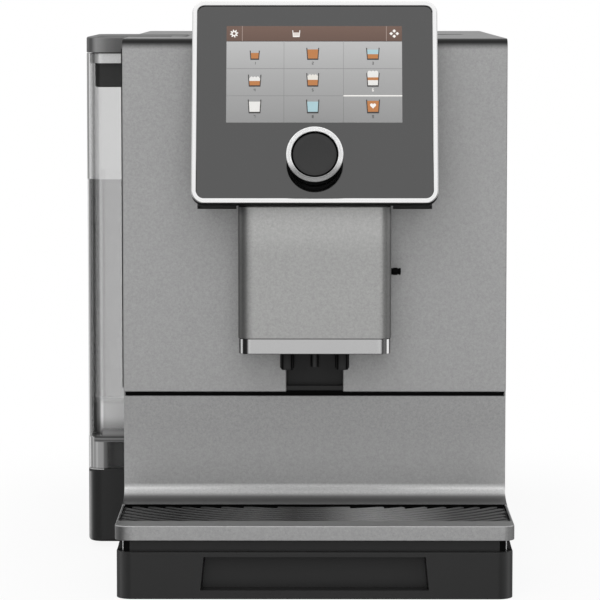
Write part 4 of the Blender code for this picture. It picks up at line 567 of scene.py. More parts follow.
def body_paint(g, colour, flake, part=None):
    """Satin metallic paint: fine flakes and a broad unevenness in colour and gloss over a faint orange peel."""
    fine, coarse, broad = g.noise(1500, 2, rough=0.7), g.noise(620, 3, rough=0.6), g.noise(9, 3)
    shade = 1 + (fine - 0.5) * flake + (coarse - 0.5) * flake + (broad - 0.5) * 0.05
    g.output(g.surface(Base_Color=g.tinted(colour, shade, part), Metallic=0.45,
                       Roughness=0.34 + (coarse - 0.5) * 0.08 + (broad - 0.5) * 0.05, Specular_IOR_Level=0.25,
                       Normal=g.bump(fine + coarse, 0.008, 0.4)))


def moulded(g, colour, roughness, grain, scale, specular=0.3, part=None, metallic=0.0):
    """Moulded plastic: a fine eroded grain, faint flow marks in the colour and rubbed, glossier patches."""
    fine, broad, marks = g.noise(scale, 3, rough=0.65), g.noise(14, 4), g.noise(55, 2, (1, 1, 0.15))
    shade = 1 + (fine - 0.5) * 0.22 + (broad - 0.5) * 0.18 + (marks - 0.5) * 0.08
    g.output(g.surface(Base_Color=g.tinted(colour, shade, part), Metallic=metallic,
                       Roughness=roughness + (fine - 0.5) * 0.12 + (broad - 0.5) * 0.14, Specular_IOR_Level=specular,
                       Normal=g.bump(fine, grain, 0.6)))


def plated(g, colour, roughness, smear, part=None, brushed=None, scratches=0.004):
    """Plated or bare metal: a polish that varies in soft smears, with hairlines along one axis where it is brushed."""
    broad, hair = g.noise(38, 4), g.noise(90, 4, brushed or (6, 6, 6), 0.7)
    shade = 1 + (hair - 0.5) * (0.22 if brushed else 0.03) + (broad - 0.5) * 0.05
    g.output(g.surface(Base_Color=g.tinted(colour, shade, part), Metallic=1.0,
                       Roughness=roughness + (broad - 0.5) * smear + (hair - 0.5) * smear,
                       Normal=g.bump(hair, scratches, 0.4)))


def clear_wall(g, colour, veil, banded=False):
    """Clear moulded wall: a thin veil with flow lines, with painted highlight and shade in bands on the tank's front,
    under a soft reflection.
    """
    flow = g.noise(26, 3, (1, 1, 0.2))
    density = veil + (flow - 0.5) * 0.02
    if banded:
        density, colour = tank_bands(g, *g.split(), density, colour)
    gloss = g.maths("MINIMUM", g.add("ShaderNodeFresnel", pins={"IOR": 1.18}), 0.08)
    g.output(g.mixed(gloss, g.surface(Base_Color=colour, Roughness=0.35, Specular_IOR_Level=0.1, Alpha=density),
                     g.surface(Base_Color=(0.92, 0.92, 0.92), Metallic=1.0, Roughness=0.05 + flow * 0.03)))


def water_body(g, colour):
    """Still water: a grey veil on its front and outer faces, clear on the rest, with painted light in a paler, denser
    foot.
    """
    x, y, z = g.split()
    low, over = box_of("water_tank")[0], z - TANK_FLOOR
    upright = (z - look("tank").level).fall(-0.15, -0.05)
    front, outer = (y - low[1]).fall(5.0, 6.0), (x - low[0]).fall(4.0, 5.0)
    foot = front * over.fall(21.6, 29.6)
    ripple = (g.noise(30, 2, (1, 1, 0.2)) - 0.5) * 0.02
    density = upright * (front * 0.34 + foot * 0.66 + (1 - front) * outer * 0.05) + ripple
    colour = g.blend(foot ** 0.5, colour, g.blend(over.rise(3.6, 15.6), linear(160), linear(246)))
    g.output(g.mixed(0.012, g.surface(Base_Color=colour, Roughness=0.3, Specular_IOR_Level=0.1, Alpha=density),
                     g.surface(Base_Color=(0.92, 0.92, 0.92), Metallic=1.0, Roughness=0.03)))


def smoked_glass(g, colour):
    """Display front: grey printed glass with a hard gloss coat, faint dust and finger smears in its gloss."""
    dust, smear = g.noise(900, 2).ramp(0.66, 0.72), g.noise(24, 5, (1, 1, 0.5), 0.65)
    g.output(g.surface(Base_Color=g.blend(dust * 0.10 + (smear - 0.5) * 0.06, colour, tuple(1.5 * c for c in colour)),
                       Roughness=0.045 + smear * 0.03 + dust * 0.1, IOR=1.93))


def lit_screen(g, glow):
    """Lit screen: its colours come from the picture's own colour attribute, over a fine grid of dots."""
    colour = g.add("ShaderNodeAttribute", {"attribute_name": "picture"}, out="Color")
    x, _, z = g.split()
    dots = g.maths("SINE", x * 26000) * 0.012 + g.maths("SINE", z * 26000) * 0.012
    lit = g.tinted(colour, dots + 1)
    g.output(g.surface(Base_Color=g.blend(0.55, lit, (0.02, 0.02, 0.02)), Roughness=0.22, Specular_IOR_Level=0.15,
                       Emission_Color=lit, Emission_Strength=glow))


def circuit_board(g):
    """Circuit board: green resist over traces laid in steps, with tinned pads between them."""
    cells = g.add("ShaderNodeTexVoronoi", {"distance": "MANHATTAN"}, {"Vector": g.place(), "Scale": 260.0})
    traces, pads = abs(g.noise(170, 1, (1, 1, 2)) - 0.5).ramp(0.03, 0.012), cells.ramp(0.16, 0.10)
    green = g.blend(traces, (0.012, 0.10, 0.045), (0.03, 0.20, 0.08))
    g.output(g.surface(Base_Color=g.blend(pads, green, (0.62, 0.60, 0.55)), Metallic=pads,
                       Roughness=0.42 - pads * 0.15, Normal=g.bump(traces + pads, 0.03, 0.6)))


# ---------------------------------------------------------------- sizes and colours

def tone(name, grey, about):
    """A colour property from screen shades."""
    colour = linear(*grey) if isinstance(grey, tuple) else linear(grey)
    return FloatVectorProperty(name=name, description=about, default=colour, min=0.0, max=1.0, size=3, subtype="COLOR")


def length(name, millimetres, about):
    """A length property, given in millimetres."""
    return FloatProperty(name=name, description=about, default=millimetres * MM, min=0.0, unit="LENGTH")


class BodyLook(bpy.types.PropertyGroup):
    """Painted body panels and the drawer front."""
    paint: tone("Paint", 160, "Colour of the satin metallic paint")
    spout_paint: tone("Spout paint", (162, 162, 161), "Slightly warmer paint of the spout cover")
    dark: tone("Dark plastic", 38, "Colour of the base, the housing and the rear panel")
    crown: length("Crown", PANEL_HIGH[2] / MM - 341.5, "Radius of the front panel's rounded top edge")
    edge: length("Edge", 0.6, "Rounding of the panels' cut edges")
    flake: FloatProperty(name="Flake", description="How much the paint's flakes vary in brightness", default=0.44,
                         min=0.0, max=1.0, subtype="FACTOR")


class DrawerLook(bpy.types.PropertyGroup):
    """Drip drawer, its lip and the grille."""
    lip_corner: length("Lip corner", 7.0, "Radius of the lip's front corners")
    block_corner: length("Base corner", 10.0, "Radius of the tray block's front corners")
    rib_pitch: length("Rib pitch", 8.2, "Distance between the grille's curved ribs")
    rib_width: length("Rib width", 4.4, "Width of one rib")
    bow_radius: length("Bow radius", 146.0, "Distance from the grille's front edge to the centre of its arcs")


class DisplayLook(bpy.types.PropertyGroup):
    """Display unit with its rim, glass and screen."""
    rim: tone("Rim", 236, "Colour of the bright rim")
    glass: tone("Glass", 12, "Colour printed behind the display glass")
    header: tone("Header", (111, 88, 78), "Colour of the screen's top bar")
    coffee: tone("Coffee", (182, 120, 70), "Colour of coffee in the pictograms")
    water: tone("Water", (166, 196, 203), "Colour of water in the pictograms")
    glow: FloatProperty(name="Glow", description="Light given off by the screen", default=0.55, min=0.0, max=5.0)


class TankLook(bpy.types.PropertyGroup):
    """Water tank with its lid."""
    wall: tone("Wall", 40, "Tint of the clear tank")
    water: tone("Water", (36, 37, 37), "Tint of the water")
    lid: tone("Lid", 108, "Colour of the tank's lid")
    level: length("Water level", 251.0, "Height of the water's surface above the floor")


class StageLook(bpy.types.PropertyGroup):
    """Floor, lamps and camera."""
    floor: tone("Floor", 244, "Colour of the floor")
    fill: FloatProperty(name="Fill", description="Strength of the even light from all round", default=0.62, min=0.0)
    key: FloatProperty(name="Key", description="Power of the large lamp in front above", default=30.0, min=0.0,
                       unit="POWER")
    lens: FloatProperty(name="Lens", description="Focal length of the camera in millimetres", default=206.0, min=1.0)


LOOKS = {"machine_body": BodyLook, "machine_drawer": DrawerLook, "machine_display": DisplayLook,
         "machine_tank": TankLook, "machine_stage": StageLook}


def look(name):
    """One of the scene's property groups."""
    return getattr(bpy.context.scene, "machine_" + name)


def finish_table():
    """Each finish's slot in the record, the function that makes it and the values it takes."""
    body, display, tank = look("body"), look("display"), look("tank")
    paint, dark, smooth = tuple(body.paint), tuple(body.dark), (0.34, 0.012, 1900, 0.22)
    return {
        # the crown, sweep, spout, tray, foot, carriage, grille, nozzle, ring, strip, clear wall, water and lid finishes
        # carry painted light and shade by place
        "body_paint": ("metallic_grey", body_paint, paint, body.flake),
        "crown_paint": ("metallic_grey", body_paint, paint, body.flake, crown_shade),
        "sweep_paint": ("metallic_grey", body_paint, paint, body.flake, sweep_shade),
        "spout_paint": ("metallic_grey", body_paint, tuple(body.spout_paint), body.flake, spout_shade),
        "dark_plastic": ("dark_plastic", moulded, dark, *smooth),
        "tray_plastic": ("dark_plastic", moulded, dark, *smooth, tray_shade),
        "foot_plastic": ("dark_plastic", moulded, linear(41), *smooth, foot_shade),
        "carriage_plastic": ("dark_plastic", moulded, dark, *smooth, pin_shade),
        "inner_plastic": ("dark_plastic", moulded, tuple(0.8 * c for c in dark), 0.5, 0.03, 1200),
        "grille_black": ("dark_plastic", moulded, linear(84), 0.36, 0.004, 2200, 0.06, grille_shade),
        "band_black": ("dark_plastic", moulded, linear(18), 0.5, 0.01, 2400, 0.1),
        "gloss_black": ("gloss_black", moulded, linear(10), 0.10, 0.003, 2400, 0.22),
        "deep_black": ("gloss_black", moulded, linear(8), 0.45, 0.01, 2400, 0.04),
        "edge_black": ("gloss_black", moulded, linear(5), 0.5, 0.004, 2200, 0.04),
        "cap_black": ("gloss_black", moulded, linear(40), 0.40, 0.006, 2600, 0.3),
        "nozzle_black": ("gloss_black", moulded, linear(34), 0.35, 0.003, 2400, 0.05, nozzle_shade),
        "chrome": ("chrome", plated, tuple(display.rim), 0.14, 0.05),
        "ring_satin": ("chrome", moulded, linear(244), 0.28, 0.003, 2400, 0.5, ring_shade, 0.5),
        "trim_chrome": ("chrome", plated, linear(180), 0.10, 0.03, strip_shade),
        "smoked_glass": ("display_glass", smoked_glass, tuple(display.glass)),
        "clear_wall": ("clear_plastic", clear_wall, tuple(tank.wall), 0.12, True),
        "hopper_wall": ("clear_plastic", clear_wall, linear(90, 88, 85), 0.3),
        "water": ("clear_plastic", water_body, tuple(tank.water)),
        "tank_floor": ("clear_plastic", moulded, linear(150), 0.5, 0.004, 900, 0.1),
        "frost": ("clear_plastic", moulded, linear(250), 0.5, 0.01, 900, 0.2),
        "lid_grey": ("lid_grey", moulded, tuple(tank.lid), 0.38, 0.012, 1700, 0.3, lid_shade),
        "tub_grey": ("lid_grey", moulded, linear(54), 0.5, 0.01, 900, 0.2),
        "rubber": ("rubber", moulded, linear(36), 0.82, 0.05, 1100, 0.25),
        "white_plastic": ("white_plastic", moulded, linear(214, 213, 208), 0.40, 0.012, 1500),
        "silicone": ("silicone", moulded, linear(196, 193, 184), 0.55, 0.02, 900, 0.4),
        "steel": ("steel", plated, linear(182), 0.30, 0.12, None, (1, 1, 30), 0.01),
        "aluminium": ("aluminium", plated, linear(190), 0.42, 0.16, None, (3, 3, 3), 0.02),
        "board_green": ("board_green", circuit_board),
    }


def finish_of(name):
    """A shared finish, made when it is first asked for, and its slot."""
    slot, make, *values = finish_table()[name]
    title = "Machine " + name.replace("_", " ")
    material = bpy.data.materials.get(title)
    if not material:
        material = bpy.data.materials.new(title)
        make(Graph(material), *values)
    return material, slot


class Maker(bpy.types.Operator):
    """Makes a group of the machine's pieces."""
    bl_options = {"REGISTER", "UNDO"}


# ---------------------------------------------------------------- body

class MACHINE_OT_front_panel(Maker):
    """Front panel: a bent section carried across the body, its lower part stepping up over the spout's slot"""
    bl_idname = "machine.front_panel"
    bl_label = "Front panel"

    def execute(self, context):
        body, wall = look("body"), 3.0 * MM
        low, high = PANEL_LOW, PANEL_HIGH
        rail_low, rail_high = box_of("spout_rail")
        slot_top = rail_high[2] - wall
        half_slot = (rail_high[0] - rail_low[0]) / 2 - wall
        crown = arc((low[1] + body.crown, high[2] - body.crown), body.crown, 180, 90, 13)
        full = np.array([(low[1], low[2]), (low[1], slot_top), *crown, (high[1], high[2]), (high[1], high[2] - wall),
                         (low[1] + wall, high[2] - wall), (low[1] + wall, slot_top), (low[1] + wall, low[2])])
        raised = full.copy()
        raised[:, 1] = np.maximum(raised[:, 1], slot_top)
        left, right = CENTRE_X - half_slot, CENTRE_X + half_slot
        rows = [at_across(section, x) for x, section in ((low[0], full), (left, full), (left, raised), (right, raised),
                                                         (right, full), (high[0], full))]
        piece("front_panel_painted", skin(rows), "crown_paint", "housing", "front_panel", bevel=body.edge)
        return {"FINISHED"}


class MACHINE_OT_body_panels(Maker):
    """Top cover, side panels and service cover in paint, rear panel in dark plastic, with their edges rounded"""
    bl_idname = "machine.body_panels"
    bl_label = "Body panels"

    def execute(self, context):
        left, right, edge, joint, shadow_strip_top = PANEL_LOW[0], PANEL_HIGH[0], 0.3 * MM, 117.2 * MM, 340 * MM
        # a thin black strip at the front edge of the tank's recess: painted shadow along the panel's edge
        shadow_strip = block((left - 1.8 * MM, FACE_Y + 20.3 * MM, joint - 0.2 * MM),
                     (left - 0.05 * MM, FACE_Y + 22.3 * MM, shadow_strip_top), edge, edge, edge, 3)
        piece("recess_edge_shadow", shadow_strip, "edge_black", "housing")
        # a black block in the slit under the front panel: painted shade where the gap is dark
        slit = block((left + 1.2 * MM, FACE_Y + 0.9 * MM, joint - 3.1 * MM),
                     (right - 1.2 * MM, FACE_Y + 2.9 * MM, joint))
        piece("panel_slit", slit, "edge_black", "housing")
        low, high = box_of("spout_rail")
        sill = block((low[0], low[1] - 0.4 * MM, joint - 0.5 * MM), (high[0], low[1] + 1.5 * MM, joint + 3.0 * MM))
        piece("channel_sill", sill, "dark_plastic", "housing")
        for node in ("top_cover", "side_panel_left", "side_panel_right", "service_cover", "rear_panel"):
            dressed_copy(node, "dark_plastic" if node == "rear_panel" else "body_paint",
                         node if node == "service_cover" else "housing", look("body").edge)
        return {"FINISHED"}


class MACHINE_OT_feet(Maker):
    """Rubber feet: a turned foot with a rounded rim and a hollow sole"""
    bl_idname = "machine.feet"
    bl_label = "Feet"

    def execute(self, context):
        rim, hollow = 0.9 * MM, 0.7 * MM
        for node in ("foot_front_left", "foot_front_right", "foot_rear_left", "foot_rear_right"):
            low, high = box_of(node)
            radius, top, sole = (high[0] - low[0]) / 2, high[2], low[2]
            profile = [(0.0, sole + hollow), (radius * 0.52, sole + hollow), (radius * 0.60, sole),
                       *arc((radius - rim, sole + rim), rim, -90, 0, 5), (radius * 0.97, top), (0.0, top)]
            shape = moved(skin(turned(profile, 48)), by=(*middle_of(node), 0.0))
            piece(node + "_rubber", shape, "rubber", "housing", node)
        return {"FINISHED"}


# ---------------------------------------------------------------- drip drawer

class MACHINE_OT_drawer_front(Maker):
    """Drawer front: a section that sweeps forward as a quarter ellipse, joined to the lip frame round the grille"""
    bl_idname = "machine.drawer_front"
    bl_label = "Drawer front"

    def execute(self, context):
        corner, gap, frame_ledge = look("drawer").lip_corner, 0.35 * MM, 3 * MM
        low, high = box_of("drawer_front")
        grille_low, grille_high = box_of("drip_grille")
        inner_low, inner_high = grille_low[:2] - gap, grille_high[:2] + gap
        back, front, top = FACE_Y + 3.0 * MM, inner_high[1], high[2] - 0.4 * MM
        depth, height = FACE_Y - 3.0 * MM - front, 9.5 * MM
        angle = np.radians(np.linspace(0, -90, 19))
        sweep = zip(FACE_Y - depth + depth * np.cos(angle), LIP_TOP + height + height * np.sin(angle))
        ring = [(back, top), (FACE_Y, top), *sweep, (front, LIP_TOP), (front, low[2]), (back, low[2])]
        swept = skin([at_across(ring, x) for x in (low[0], high[0])])
        lip = skin(stacked(low, (high[0], front + 6 * MM), (0.0, 0.0, corner, corner),
                           edges(low[2], LIP_TOP, 0.5 * MM, 0.7 * MM, 5)))
        well = block((*inner_low, grille_low[2] - 0.3 * MM), (*inner_high, LIP_TOP + 3 * MM), 0.6 * MM)
        through = block((*(inner_low + frame_ledge), low[2] - 3 * MM), (*(inner_high - frame_ledge), LIP_TOP), 0.6 * MM)
        piece("drawer_front_painted", without(united(swept, lip), well, through), "sweep_paint", "drip_drawer",
              "drawer_front", bevel=0.25 * MM, crease=28)
        # a black strip at the back of the grille: painted shadow at the foot of the sweep
        shadow_line = block((inner_low[0], front - 0.25 * MM, LIP_TOP - 0.9 * MM),
                         (inner_high[0], front + 0.35 * MM, LIP_TOP + 0.4 * MM))
        piece("grille_back_shadow", shadow_line, "edge_black", "drip_drawer")
        return {"FINISHED"}


class MACHINE_OT_drip_tray(Maker):
    """Tray block with its finger grip, the set-back neck with gloss black corners, and the basin behind"""
    bl_idname = "machine.drip_tray"
    bl_label = "Drip tray"

    def execute(self, context):
        low, high = box_of("drip_tray")
        top, back, corner, front = TRAY_LEDGE, FACE_Y - 0.6 * MM, look("drawer").block_corner, low[1]
        base = block((low[0], front, 0.4 * MM), (high[0], back, top), (0.0, 0.0, corner, corner), 0.5 * MM, 0.6 * MM,
                     13)
        inset, sharp = 5.0 * MM, 2.0 * MM
        neck_low, neck_high = (low[0] + inset, front + inset), (high[0] - inset, back)
        neck = block((*neck_low, top - 2 * MM), (*neck_high, high[2]), (0.0, 0.0, sharp, sharp))
        half, end, wall, floor, above = 75.6 * MM, high[1], 3.0 * MM, 10.1 * MM, high[2] + 3.0 * MM
        tub = block((CENTRE_X - half, back - 3 * MM, 7.1 * MM), (CENTRE_X + half, end, high[2]), 3 * MM)
        basin = block((neck_low[0] + wall, front + 16 * MM, floor), (neck_high[0] - wall, back - wall, above), 4 * MM)
        channel = block((CENTRE_X - half + wall, front + 19 * MM, floor), (CENTRE_X + half - wall, end - wall, above),
                        2 * MM)
        grip = np.array([(-71.4, 6.0), (71.4, 6.0), (69.35, 27.0), (-69.35, 27.0)]) * MM
        rows = [np.column_stack([CENTRE_X + grip[:, 0] * share, np.full(4, front + into), grip[:, 1]])
                for into, share in ((-2 * MM, 1.0), (12 * MM, 0.985))]
        piece("drip_tray_moulded", without(united(base, neck, tub), basin, channel, skin(rows)), "tray_plastic",
              "drip_drawer", "drip_tray", bevel=0.35 * MM, crease=28)
        ledge, rim = top - 0.2 * MM, high[2] - 0.1 * MM
        for name, side, edge, outer in (("left", -1, neck_low[0], low[0]), ("right", 1, neck_high[0], high[0])):
            pad = sorted((edge + side * 0.25 * MM, edge - side * 3.4 * MM))
            pillar = block((pad[0], neck_low[1] - 0.25 * MM, ledge), (pad[1], neck_low[1] + 12 * MM, rim), 0.5 * MM)
            piece(f"neck_pillar_{name}", pillar, "deep_black", "drip_drawer")
            pin = rod(0.45 * MM, ledge, rim, 24, (edge + side * 0.75 * MM, neck_low[1] + 3.0 * MM))
            piece(f"neck_pin_{name}", pin, "chrome", "drip_drawer")
            inner, cap = edge + side * 1.3 * MM, high[2] - 0.2 * MM
            rows = [[(outer - side * 0.3 * MM, y, ledge), (inner, y, ledge), (inner, y, cap),
                     (outer - side * 2.2 * MM, y, cap)] for y in (front + corner, back - 0.4 * MM)]
            piece(f"neck_slope_{name}", skin(rows), "gloss_black", "drip_drawer", bevel=0.15 * MM)
        return {"FINISHED"}


class MACHINE_OT_drip_grille(Maker):
    """Grille: ribs along circles about a centre behind it, over lower ribs that bow the other way, in a thin frame"""
    bl_idname = "machine.drip_grille"
    bl_label = "Drip grille"

    def ribs(self, low, high, centre_y, radii, width, z_low, z_high, ahead):
        """Bars of a D section carried along arcs: x = cx + r sin a, y = cy -+ r cos a, kept inside the frame."""
        shapes = []
        section = np.array([(-0.5, 0.0), (0.5, 0.0), (0.5, 0.80), (0.40, 0.97), (0.0, 1.0), (-0.40, 0.97),
                            (-0.5, 0.80)])
        for radius in radii:
            reach = np.linspace(-1, 1, 241) * (high[0] - low[0]) / 2
            reach = reach[np.abs(reach) < radius * 0.999]
            drop = np.sqrt(radius ** 2 - reach ** 2)
            along = centre_y - drop if ahead else centre_y + drop
            inside = (along > low[1]) & (along < high[1])
            for run in np.split(np.arange(len(reach)), np.flatnonzero(np.diff(inside.astype(int))) + 1):
                if len(run) < 4 or not inside[run[0]]:
                    continue
                x, y = reach[run][::3], along[run][::3]
                slant = np.stack([np.gradient(x), np.gradient(y)], 1)
                slant /= np.linalg.norm(slant, axis=1)[:, None]
                rows = np.empty((len(x), len(section), 3))
                rows[..., 0] = CENTRE_X + x[:, None] - slant[:, 1:] * section[:, 0] * width
                rows[..., 1] = y[:, None] + slant[:, :1] * section[:, 0] * width
                rows[..., 2] = z_low + (z_high - z_low) * section[:, 1]
                shapes.append(skin(rows))
        return shapes

    def execute(self, context):
        drawer, rim = look("drawer"), 0.9 * MM
        low, high = box_of("drip_grille")
        inner_low, inner_high = low[:2] + rim * 0.3, high[:2] - rim * 0.3
        width, bow, middle = drawer.rib_width, drawer.bow_radius, (low[2] + high[2]) / 2
        radii = np.arange(bow - 62 * MM, bow + 55 * MM, drawer.rib_pitch)
        upper = self.ribs(inner_low, inner_high, low[1] + bow, radii, width, middle - 0.4 * MM, high[2] - 0.05 * MM,
                          True)
        under = self.ribs(inner_low, inner_high, high[1] - bow, radii, width * 0.8, low[2], middle + 0.2 * MM, False)
        profile = [(0.0, low[2]), (0.0, high[2] - 0.5 * MM), (0.4 * MM, high[2]), (rim, high[2]), (rim, low[2])]
        border = skin(stacked(low, high, 1.0 * MM, profile, 5), looped=True)
        piece("drip_grille_ribs", together(*upper), "grille_black", "drip_grille", "drip_grille")
        piece("drip_grille_lower", together(border, *under), "deep_black", "drip_grille", "drip_grille",
              slot="dark_plastic")
        return {"FINISHED"}


class MACHINE_OT_grounds_container(Maker):
    """Grounds bin: one rounded wall turned over at the rim, with its floor"""
    bl_idname = "machine.grounds_container"
    bl_label = "Grounds container"

    def execute(self, context):
        low, high = box_of("grounds_container")
        wall, foot = 2.0 * MM, 2.0 * MM
        profile = [(foot, low[2]), *arc((foot, low[2] + foot), foot, 270, 180, 5)[1:],
                   *arc((wall / 2, high[2] - wall / 2), wall / 2, 180, 0, 7),
                   (wall, low[2] + wall + foot), (wall + foot, low[2] + wall)]
        piece("grounds_bin", skin(stacked(low, high, 8 * MM, profile, 9)), "inner_plastic", "grounds_container",
              "grounds_container")
        return {"FINISHED"}


# ---------------------------------------------------------------- spout

class MACHINE_OT_spout(Maker):
    """Spout: rounded cover, bright strip round its foot, turned nozzles and the milk connector's ridged stub"""
    bl_idname = "machine.spout"
    bl_label = "Spout"

    def execute(self, context):
        low, high = box_of("spout_cover")
        corner, wall = 6.5 * MM, 2.5 * MM
        outer = block(low, high, (0, 0, corner, corner), 0.25 * MM, 0.9 * MM, 15)
        cavity = block((low[0] + wall, low[1] + wall, low[2] - wall), (high[0] - wall, high[1] + wall, high[2] - wall),
                       (0, 0, corner - wall, corner - wall), 0, 0, 15)
        piece("spout_cover_painted", without(outer, cavity), "spout_paint", "spout", "spout_cover", crease=30)
        low, high = box_of("spout_trim")
        corner, wall = 6.0 * MM, 2.0 * MM
        outer = block(low, high, (0, 0, corner, corner), 0.5 * MM, 0.3 * MM, 17)
        hole = block(*narrowed(low, high, wall, low[2] - wall, high[2] + wall), 0.2 * MM)
        piece("spout_strip", without(outer, hole), "trim_chrome", "spout", "spout_trim", crease=30)
        for node in ("nozzle_left", "nozzle_right"):
            low, high = box_of(node)
            radius, bore, foot = (high[0] - low[0]) / 2, 2.5 * MM, low[2]
            profile = [(radius, high[2]), (radius, foot + 1.7 * MM), (radius - 0.25 * MM, foot + 1.2 * MM),
                       (radius - 0.9 * MM, foot + 0.15 * MM), (radius - 1.1 * MM, foot), (bore + 0.2 * MM, foot),
                       (bore, foot + 0.3 * MM), (bore, high[2])]
            shape = moved(skin(turned(profile, 48), looped=True), by=(*middle_of(node), 0.0))
            piece(node + "_turned", shape, "nozzle_black", "spout", node)
        low, high = box_of("milk_connector")
        radius, reach = (high[2] - low[2]) / 2, high[0] - low[0]
        profile = [(radius * wide, reach * out) for wide, out in (
            (0.0, 0.0), (0.86, 0.0), (0.86, 0.12), (1.0, 0.18), (1.0, 0.62), (0.80, 0.68), (0.80, 0.76), (0.96, 0.82),
            (0.90, 0.97), (0.5, 1.0), (0.0, 1.0))]
        sideways = [[0, 0, 1, 0], [1, 0, 0, 0], [0, 1, 0, 0], [0, 0, 0, 1]]
        shape = moved(skin(turned(profile, 32)), sideways, (low[0], *(low[1:] + high[1:]) / 2))
        piece("milk_stub", shape, "deep_black", "spout", "milk_connector")
        dressed_copy("spout_carriage", "carriage_plastic", "spout", 0.3 * MM)
        dressed_copy("spout_rail", "dark_plastic", "housing", 0.3 * MM)
        return {"FINISHED"}


# ---------------------------------------------------------------- display

def display_matrix(up=0.0):
    """Rows that put (across, up the face, out of the face) in the machine: turned about X by the display's tilt."""
    low = box_of("display_rim")[0]
    sine, cosine = math.sin(DISPLAY_TILT), math.cos(DISPLAY_TILT)
    return [[1, 0, 0, CENTRE_X], [0, sine, -cosine, low[1] + sine * up],
            [0, cosine, sine, low[2] + DISPLAY_DEPTH * sine + cosine * up], [0, 0, 0, 1]]


class MACHINE_OT_display(Maker):
    """Display: a bright rim of rounded section round the glass, with its housing and bracket behind"""
    bl_idname = "machine.display"
    bl_label = "Display"

    def execute(self, context):
        low, high = box_of("display_rim")
        height = (high[2] - low[2] - DISPLAY_DEPTH * math.sin(DISPLAY_TILT)) / math.cos(DISPLAY_TILT)
        width, front, inner, edge = 3.2 * MM, 0.9 * MM, 3.9 * MM, (high[0] - low[0]) / 2 - 0.4 * MM
        bright = [(0.0, -front), (0.0, -0.7 * MM), *arc((0.7 * MM, -0.7 * MM), 0.7 * MM, 165, 90, 5),
                  *arc((width - 0.5 * MM, -0.5 * MM), 0.5 * MM, 90, 0, 5), (width, -front)]
        behind = [(0.1 * MM, -DISPLAY_DEPTH), (0.1 * MM, -front), (inner, -front), (inner, -DISPLAY_DEPTH)]
        for name, foot, profile, finish in (("display_rim_plated", 0.6 * MM, bright, "chrome"),
                                            ("display_rim_back", 0.0, behind, "edge_black")):
            ring = skin(stacked((-edge, foot), (edge, height), 8 * MM, profile, 11), looped=True)
            piece(name, moved(ring, display_matrix()), finish, "housing", "display_rim", crease=50)
        dressed_copy("display_glass", "smoked_glass", "housing", 0.25 * MM)
        dressed_copy("display_housing", "band_black", "housing", 0.3 * MM)
        dressed_copy("display_bracket", "dark_plastic", "housing", 0.3 * MM)
        return {"FINISHED"}


class Picture:
    """Flat coloured shapes of the screen, each a thin prism a little higher than the one before."""

    def __init__(self, surface):
        self.shapes, self.colours, self.surface = [], [], surface

    def lay(self, outline, colour, lower=None):
        """A prism from an outline of (across, up) in millimetres; lower is the colour at its foot, for a fade."""
        outline = np.asarray(outline, float) * MM
        top = self.surface + (0.08 + 0.004 * (len(self.shapes) + 1)) * MM
        self.shapes.append(skin([at_height(outline, z) for z in (self.surface - 0.02 * MM, top)]))
        share = (outline[:, 1] - outline[:, 1].min()) / max(np.ptp(outline[:, 1]), 0.01 * MM)
        colour, lower = np.array(colour), np.array(colour if lower is None else lower)
        tint = lower + (colour - lower) * share[:, None]
        self.colours.append(np.tile(np.column_stack([tint, np.ones(len(tint))]), (2, 1)))

    def bar(self, left, low, right, high, colour, lower=None):
        """Rectangle of the screen."""
        self.lay([(left, low), (right, low), (right, high), (left, high)], colour, lower)

    def disc(self, x, y, radius, colour):
        """Circle of the screen."""
        self.lay(circle(radius, 20) + (x, y), colour)

    def cup(self, x, low, wide, tall, line, fills, wall=0.62):
        """Open glass: two dark walls that taper to a thick foot, filled in bands from the foot up."""
        start = 0.0
        for share, colour in fills:
            self.lay(self.bowl(x, low + wall, wide - 2 * wall, tall - wall, start, start + share), colour)
            start += share
        outer, inner = (self.bowl(x, low, wide - trim, tall, 0.0, 1.0) for trim in (0.0, 2 * wall))
        self.lay([inner[0], outer[0], outer[1], inner[1]], line)
        self.lay([outer[3], inner[3], inner[2], outer[2]], line)
        self.bar(x - wide * 0.43, low - 0.1, x + wide * 0.43, low + wall + 0.15, line)

    @staticmethod
    def bowl(x, low, wide, tall, start, end):
        """Part of a glass between two shares of its height: half width = (0.86 + 0.14 share) of the rim's."""
        share = np.array([start, end])
        half, up = wide / 2 * (0.86 + 0.14 * share), low + tall * share
        return np.concatenate([np.stack([x + half, up], 1), np.stack([x - half, up], 1)[::-1]])

    def number(self, x, y, digit, colour, size):
        """A digit of seven straight strokes, two squares high."""
        strokes = {"a": (-0.5, 0.9, 0.5, 1.1), "b": (0.4, 0.0, 0.6, 1.0), "c": (0.4, -1.0, 0.6, 0.0),
                   "d": (-0.5, -1.1, 0.5, -0.9), "e": (-0.6, -1.0, -0.4, 0.0), "f": (-0.6, 0.0, -0.4, 1.0),
                   "g": (-0.5, -0.1, 0.5, 0.1)}
        drawn = ("", "bc", "abged", "abgcd", "fgbc", "afgcd", "afgedc", "abc", "abcdefg", "abcdfg")[digit]
        for stroke in drawn:
            left, low, right, high = (size * value for value in strokes[stroke])
            self.bar(x + left - 0.08, y + low - 0.08, x + right + 0.08, y + high + 0.08, colour)


